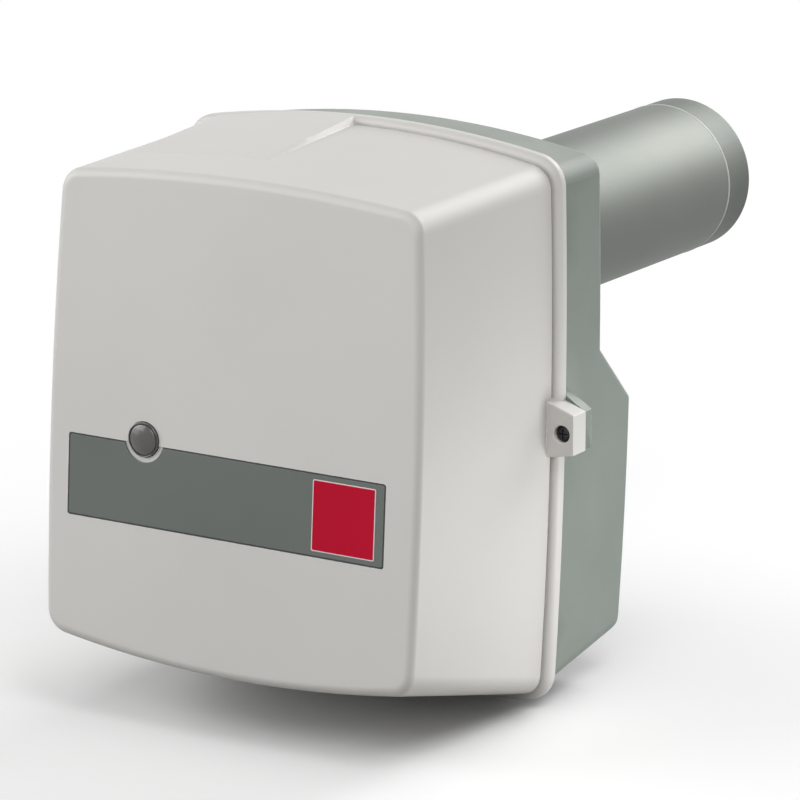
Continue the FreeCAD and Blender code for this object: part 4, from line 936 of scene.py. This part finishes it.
hoseSlot = (-34, 34, -170, -136, -260, -138)
cableNotch = (-94, -62, -82, 0, -260, -194)
shell = makeHoodShell(hoodShape)
openings = [makePocket(stripShape), buttonHole(buttonShape["radius"] + buttonShape["hole"])]
openings += [boxCutter(*hoseSlot), boxCutter(*cableNotch)]
cutWith(shell, openings)
parts = [shell, makeGuide(guideShape), makePad(padShape), makeLug(1, lugShape), makeLug(-1, lugShape)]
hood = smoothShade(joined("hoodMoulding", parts))
dress(hood, "hood_plastic", "hood", ["hood"])
print("hood made:", len(hood.data.polygons), "faces")


# ---- strip, badge and reset button ----

def makeStrip(s):
    # a thin plate in the pocket, with a seat for the tile and a hole for the button
    y = hoodShape["faceY"]
    flat = stripOutline(s, s["gap"], s["corner"] - s["gap"] / 2)
    strip = prism("strip", flat, y, y + s["depth"] - s["rise"])
    seat = prism("cutter", roundedOutline(*s["badge"], s["badgeCorner"]), y - 2, y + s["badgeSeat"])
    leaned(cutWith(strip, [seat]))
    cutWith(strip, [buttonHole(buttonShape["ring"])])
    return smoothShade(bevelEdges(strip, s["round"], 2, 40))


# sizes of the dark sheet that is painted shade in the gap round the strip
gapShadeShape = {"inset": 0.08, "front": 0.57, "rear": 0.47, "hole": 0.2}


def makeGapShade(s):
    # thin dark sheet in the pocket round the strip, painted shade in the gap between strip and hood, seen as
    # a line
    y = hoodShape["faceY"] + stripShape["depth"]
    flat = stripOutline(stripShape, s["inset"], stripShape["corner"])
    gapShadeSheet = prism("gapShadeSheet", flat, y - s["front"], y - s["rear"])
    return smoothShade(cutWith(leaned(gapShadeSheet), [buttonHole(buttonShape["ring"] + s["hole"])]))


dress(makeStrip(stripShape), "strip_plastic", "hood", ["front_strip"]).name = "frontStrip"
# the dark sheet round the strip is painted shade in its gap
dress(makeGapShade(gapShadeShape), "black_plastic", "hood").name = "stripGapShade"

badgeShape = {"gap": 0.05, "frame": 0.55, "frameFront": 0.2, "tileFront": 0.35, "rear": 0.4, "round": 0.25}


def badgeOutline(inset, corner):
    # the tile's seat in the strip, drawn in by an inset
    x0, x1, z0, z1 = stripShape["badge"]
    return roundedOutline(x0 + inset, x1 - inset, z0 + inset, z1 - inset, corner)


def makeBadge(s):
    # plain tile with a softly rounded edge, inside its pale frame
    x0, x1, z0, z1 = stripShape["badge"]
    y, inset, corner = hoodShape["faceY"], s["frame"] + s["gap"], stripShape["badgeCorner"]
    ends = (x0 + inset, x1 - inset, y - s["tileFront"], y + s["rear"], z0 + inset, z1 - inset)
    return smoothShade(leaned(roundedBlock("badge", *ends, corner, s["round"])))


def makeBadgeFrame(s):
    # thin frame in the strip's recess round the tile
    y, corner = hoodShape["faceY"], stripShape["badgeCorner"]
    whole = prism("badgeFrame", badgeOutline(s["gap"], corner), y - s["frameFront"], y + s["rear"])
    inside = prism("cutter", badgeOutline(s["frame"], corner - s["frame"]), y - 1, y + 1)
    return smoothShade(leaned(cutWith(whole, [inside])))


dress(makeBadge(badgeShape), "badge_red", "hood", ["badge_tile"]).name = "badgeTile"
dress(makeBadgeFrame(badgeShape), "hood_plastic", "hood", look="badge_frame").name = "badgeFrame"


def makeButton(s):
    # turned profile: a dome that falls by the square of its share of the radius, a groove and a
    # thin rounded rim, then skirt, flange and stem
    r, rim = s["radius"], s["rim"]
    front = s["faceY"] - s["proud"]
    edge = front + s["crown"]
    dome = [(r * s["dome"] * t, front + s["crown"] * t ** 2) for t in np.linspace(0, 1, 16)]
    groove = [(r * share, edge + depth) for share, depth in s["groove"]]
    roll = [(r - rim + rim * math.sin(a), edge + rim * (1 - math.cos(a))) for a in quarterTurn(6)]
    flangeR, behind, thick = s["flange"]
    flangeY, (stemR, stemY) = s["faceY"] + behind, s["stem"]
    flange = [(r, flangeY), (flangeR, flangeY), (flangeR, flangeY + thick)]
    stem = [(stemR, flangeY + thick), (stemR, stemY), (0.0, stemY)]
    return smoothShade(lathe("button", dome + groove + roll + flange + stem, (s["x"], s["z"])), 40)


dress(makeButton(buttonShape), "button_smoke", "button", ["reset_button"]).name = "resetButton"


# ---- hood screws ----

screwShape = {
    "seatY": lugShape["frontY"] + lugShape["sink"],
    "tipY": -38.0,
    "head": lugShape["head"],
    "headDepth": 3.4,
    "crown": 0.55,  # share of the head's depth that is rounded, and that the recess takes
    "firstAngle": 0.2,
    "shank": 2.5,
    "pitch": 0.8,
    "threadDepth": 0.22,
    "tip": 0.6,  # share of the shank's radius
    "arm": 0.62,  # share of the head's radius
    "armHalf": 0.45,
}


def makeScrew(side, s):
    # pan head with a cross recess, and a shank whose radius steps in and out every half pitch
    x, z, seat, r = side * lugShape["x"], lugShape["z"], s["seatY"], s["head"]
    front, crown, half = seat - s["headDepth"], s["headDepth"] * s["crown"], s["pitch"] / 2
    rounding = np.linspace(s["firstAngle"], math.pi / 2, 8)
    head = [(0.0, front)] + [(r * math.sin(a), front + crown * (1 - math.cos(a))) for a in rounding]
    steps = 2 * int((s["tipY"] - seat) / s["pitch"]) - 2
    shank = [(s["shank"] - s["threadDepth"] * (i % 2), seat + half + i * half) for i in range(steps)]
    tip = [(s["shank"] * s["tip"], s["tipY"]), (0.0, s["tipY"])]
    screw = lathe("screw", head + [(r, seat), (s["shank"], seat)] + shank + tip, (x, z), 48)
    arm, narrow = r * s["arm"], s["armHalf"]
    arms = [
        boxCutter(x - wide, x + wide, front - 1, front + crown, z - high, z + high)
        for wide, high in ((arm, narrow), (narrow, arm))
    ]
    return cutWith(screw, arms)


screws = smoothShade(joined("hoodScrews", [makeScrew(side, screwShape) for side in (1, -1)]))
# the hood screws take a dark look that is painted shade in the lug holes
dress(screws, "screw_steel", "hood", ["hood_screws"], look="hood_screw")
print("front fittings made")


# ---- blast tube, seam bead and end ring ----

tubeShape = {
    "radius": 45.0,
    "wall": 2.0,
    "length": 271.4,
    "chamfer": 0.5,
    "endChamfer": 0.3,
    "sideSteps": 60,
    "spigot": 41.0,
    "spigotWall": 2.5,
    "spigotLength": 12.0,
    "clampGroove": (-8.5, -5.5, 1.25, 0.1),  # front, rear, depth, slope of its walls
    "boreStep": (2.4, 2.6),
    "turns": 160,
}
seamShape = {"half": 0.8, "rise": 0.35, "sink": 0.1, "foot": 0.4, "steps": 7}
ringShape = {
    "seam": 0.8,
    "length": 26.0,
    "recess": 0.5,
    "chamfer": (0.1, 0.2),
    "sleeve": 10,  # how far it reaches into the tube
    "fit": 0.05,
    "roll": 1.6,
    "innerWall": 1.5,
    "lipR": 36.0,
    "lip": 4.0,
    "lipRound": 0.8,
}


def makeTube(s):
    # closed profile: outside from the spigot to the end, back along the bore
    r, bore = s["radius"], s["radius"] - s["wall"]
    spigot, spigotBore = s["spigot"], s["spigot"] - s["spigotWall"]
    y0, y1 = -s["spigotLength"], s["length"]
    g0, g1, depth, slope = s["clampGroove"]
    step0, step1 = s["boreStep"]
    floor = spigot - depth
    groove = [(spigot, g0), (floor, g0 + slope), (floor, g1 - slope), (spigot, g1)]
    outside = [(spigot, y0)] + groove + [(spigot, 0.0), (r - s["chamfer"], 0.0)]
    outside += [(r, y) for y in np.linspace(0.6, y1 - 0.5, s["sideSteps"])] + [(r - s["endChamfer"], y1)]
    inside = [(bore, y1), (bore, step1), (spigotBore, step0), (spigotBore, y0), (spigot, y0)]
    return smoothShade(lathe("blastTube", outside + inside, turns=s["turns"]), 30, False)


def makeSeam(t, s):
    # low bead over the joint between tube and ring, whose pale tone is a painted highlight: an arc's height
    # over its width
    r, middle, half = t["radius"], t["length"] + ringShape["seam"] / 2, s["half"]
    top = [
        (r - s["sink"] + s["rise"] * math.sin(a), middle - half * math.cos(a))
        for a in np.linspace(0, math.pi, s["steps"])
    ]
    foot = r - s["foot"]
    closed = top + [(foot, middle + half), (foot, middle - half), top[0]]
    return smoothShade(lathe("tubeSeam", closed, turns=t["turns"]), 60, False)


def makeRing(t, s):
    # sleeve inside the tube, then the ring, whose rolled mouth turns in to a lip
    r, bore, roll = t["radius"], t["radius"] - t["wall"], s["roll"]
    seam, start, end = t["length"], t["length"] + s["seam"], t["length"] + s["length"]
    sleeve, inner, back = bore - s["fit"], bore - s["innerWall"], t["length"] - s["sleeve"]
    low, (chamferR, chamferY) = r - s["recess"], s["chamfer"]
    outside = [(sleeve, back), (sleeve, seam), (low, seam), (low, start), (r - chamferR, start)]
    outside += [(r, start + chamferY)] + [(r, y) for y in np.linspace(start + 1, end - 2, 10)]
    mouth = [(r - roll + roll * math.cos(a), end - roll + roll * math.sin(a)) for a in quarterTurn(7)]
    lipR, lip, bend = s["lipR"], s["lip"], s["lipRound"]
    mouth += [(lipR + bend, end), (lipR, end - bend), (lipR, end - lip), (inner, end - 3 * lip)]
    closed = outside + mouth + [(inner, back), (sleeve, back)]
    return smoothShade(lathe("tubeEndRing", closed, turns=t["turns"]), 30, False)


dress(makeTube(tubeShape), "tube_steel", "casing", ["blast_tube"])
# the seam bead's pale look is a painted highlight
dress(makeSeam(tubeShape, seamShape), "ring_steel", "casing", look="seamPaintedHighlight")
dress(makeRing(tubeShape, ringShape), "ring_steel", "casing", ["tube_end_ring"])
print("tube made")


# ---- the other nodes: merged copies with even normals ----

def smoothCopy(node, slot, body):
    # a CAD node's own shape with its doubles merged and even normals
    mesh = frame["nodes"][node].data.copy()
    obj = bpy.data.objects.new(node + "_piece", mesh)
    bpy.context.scene.collection.objects.link(obj)
    bm = bmesh.new()
    bm.from_mesh(mesh)
    bmesh.ops.remove_doubles(bm, verts=bm.verts, dist=2e-6)
    bm.to_mesh(mesh)
    bm.free()
    return dress(smoothShade(obj), slot, body, [node])


slotOf = {row["node"]: row["material_slot"] for row in frame["record"]["subparts"]}
bodyOf = {node: body for body, nodes in frame["record"]["behaviour"]["bodies"].items() for node in nodes}
stoodFor = {"hood", "front_strip", "badge_tile", "reset_button", "hood_screws", "blast_tube", "tube_end_ring"}
others = [node for node in sorted(frame["nodes"]) if node not in stoodFor]
copies = {node: smoothCopy(node, slotOf[node], bodyOf[node]) for node in others}
print("copies made:", len(copies))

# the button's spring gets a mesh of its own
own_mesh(copies["button_spring"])
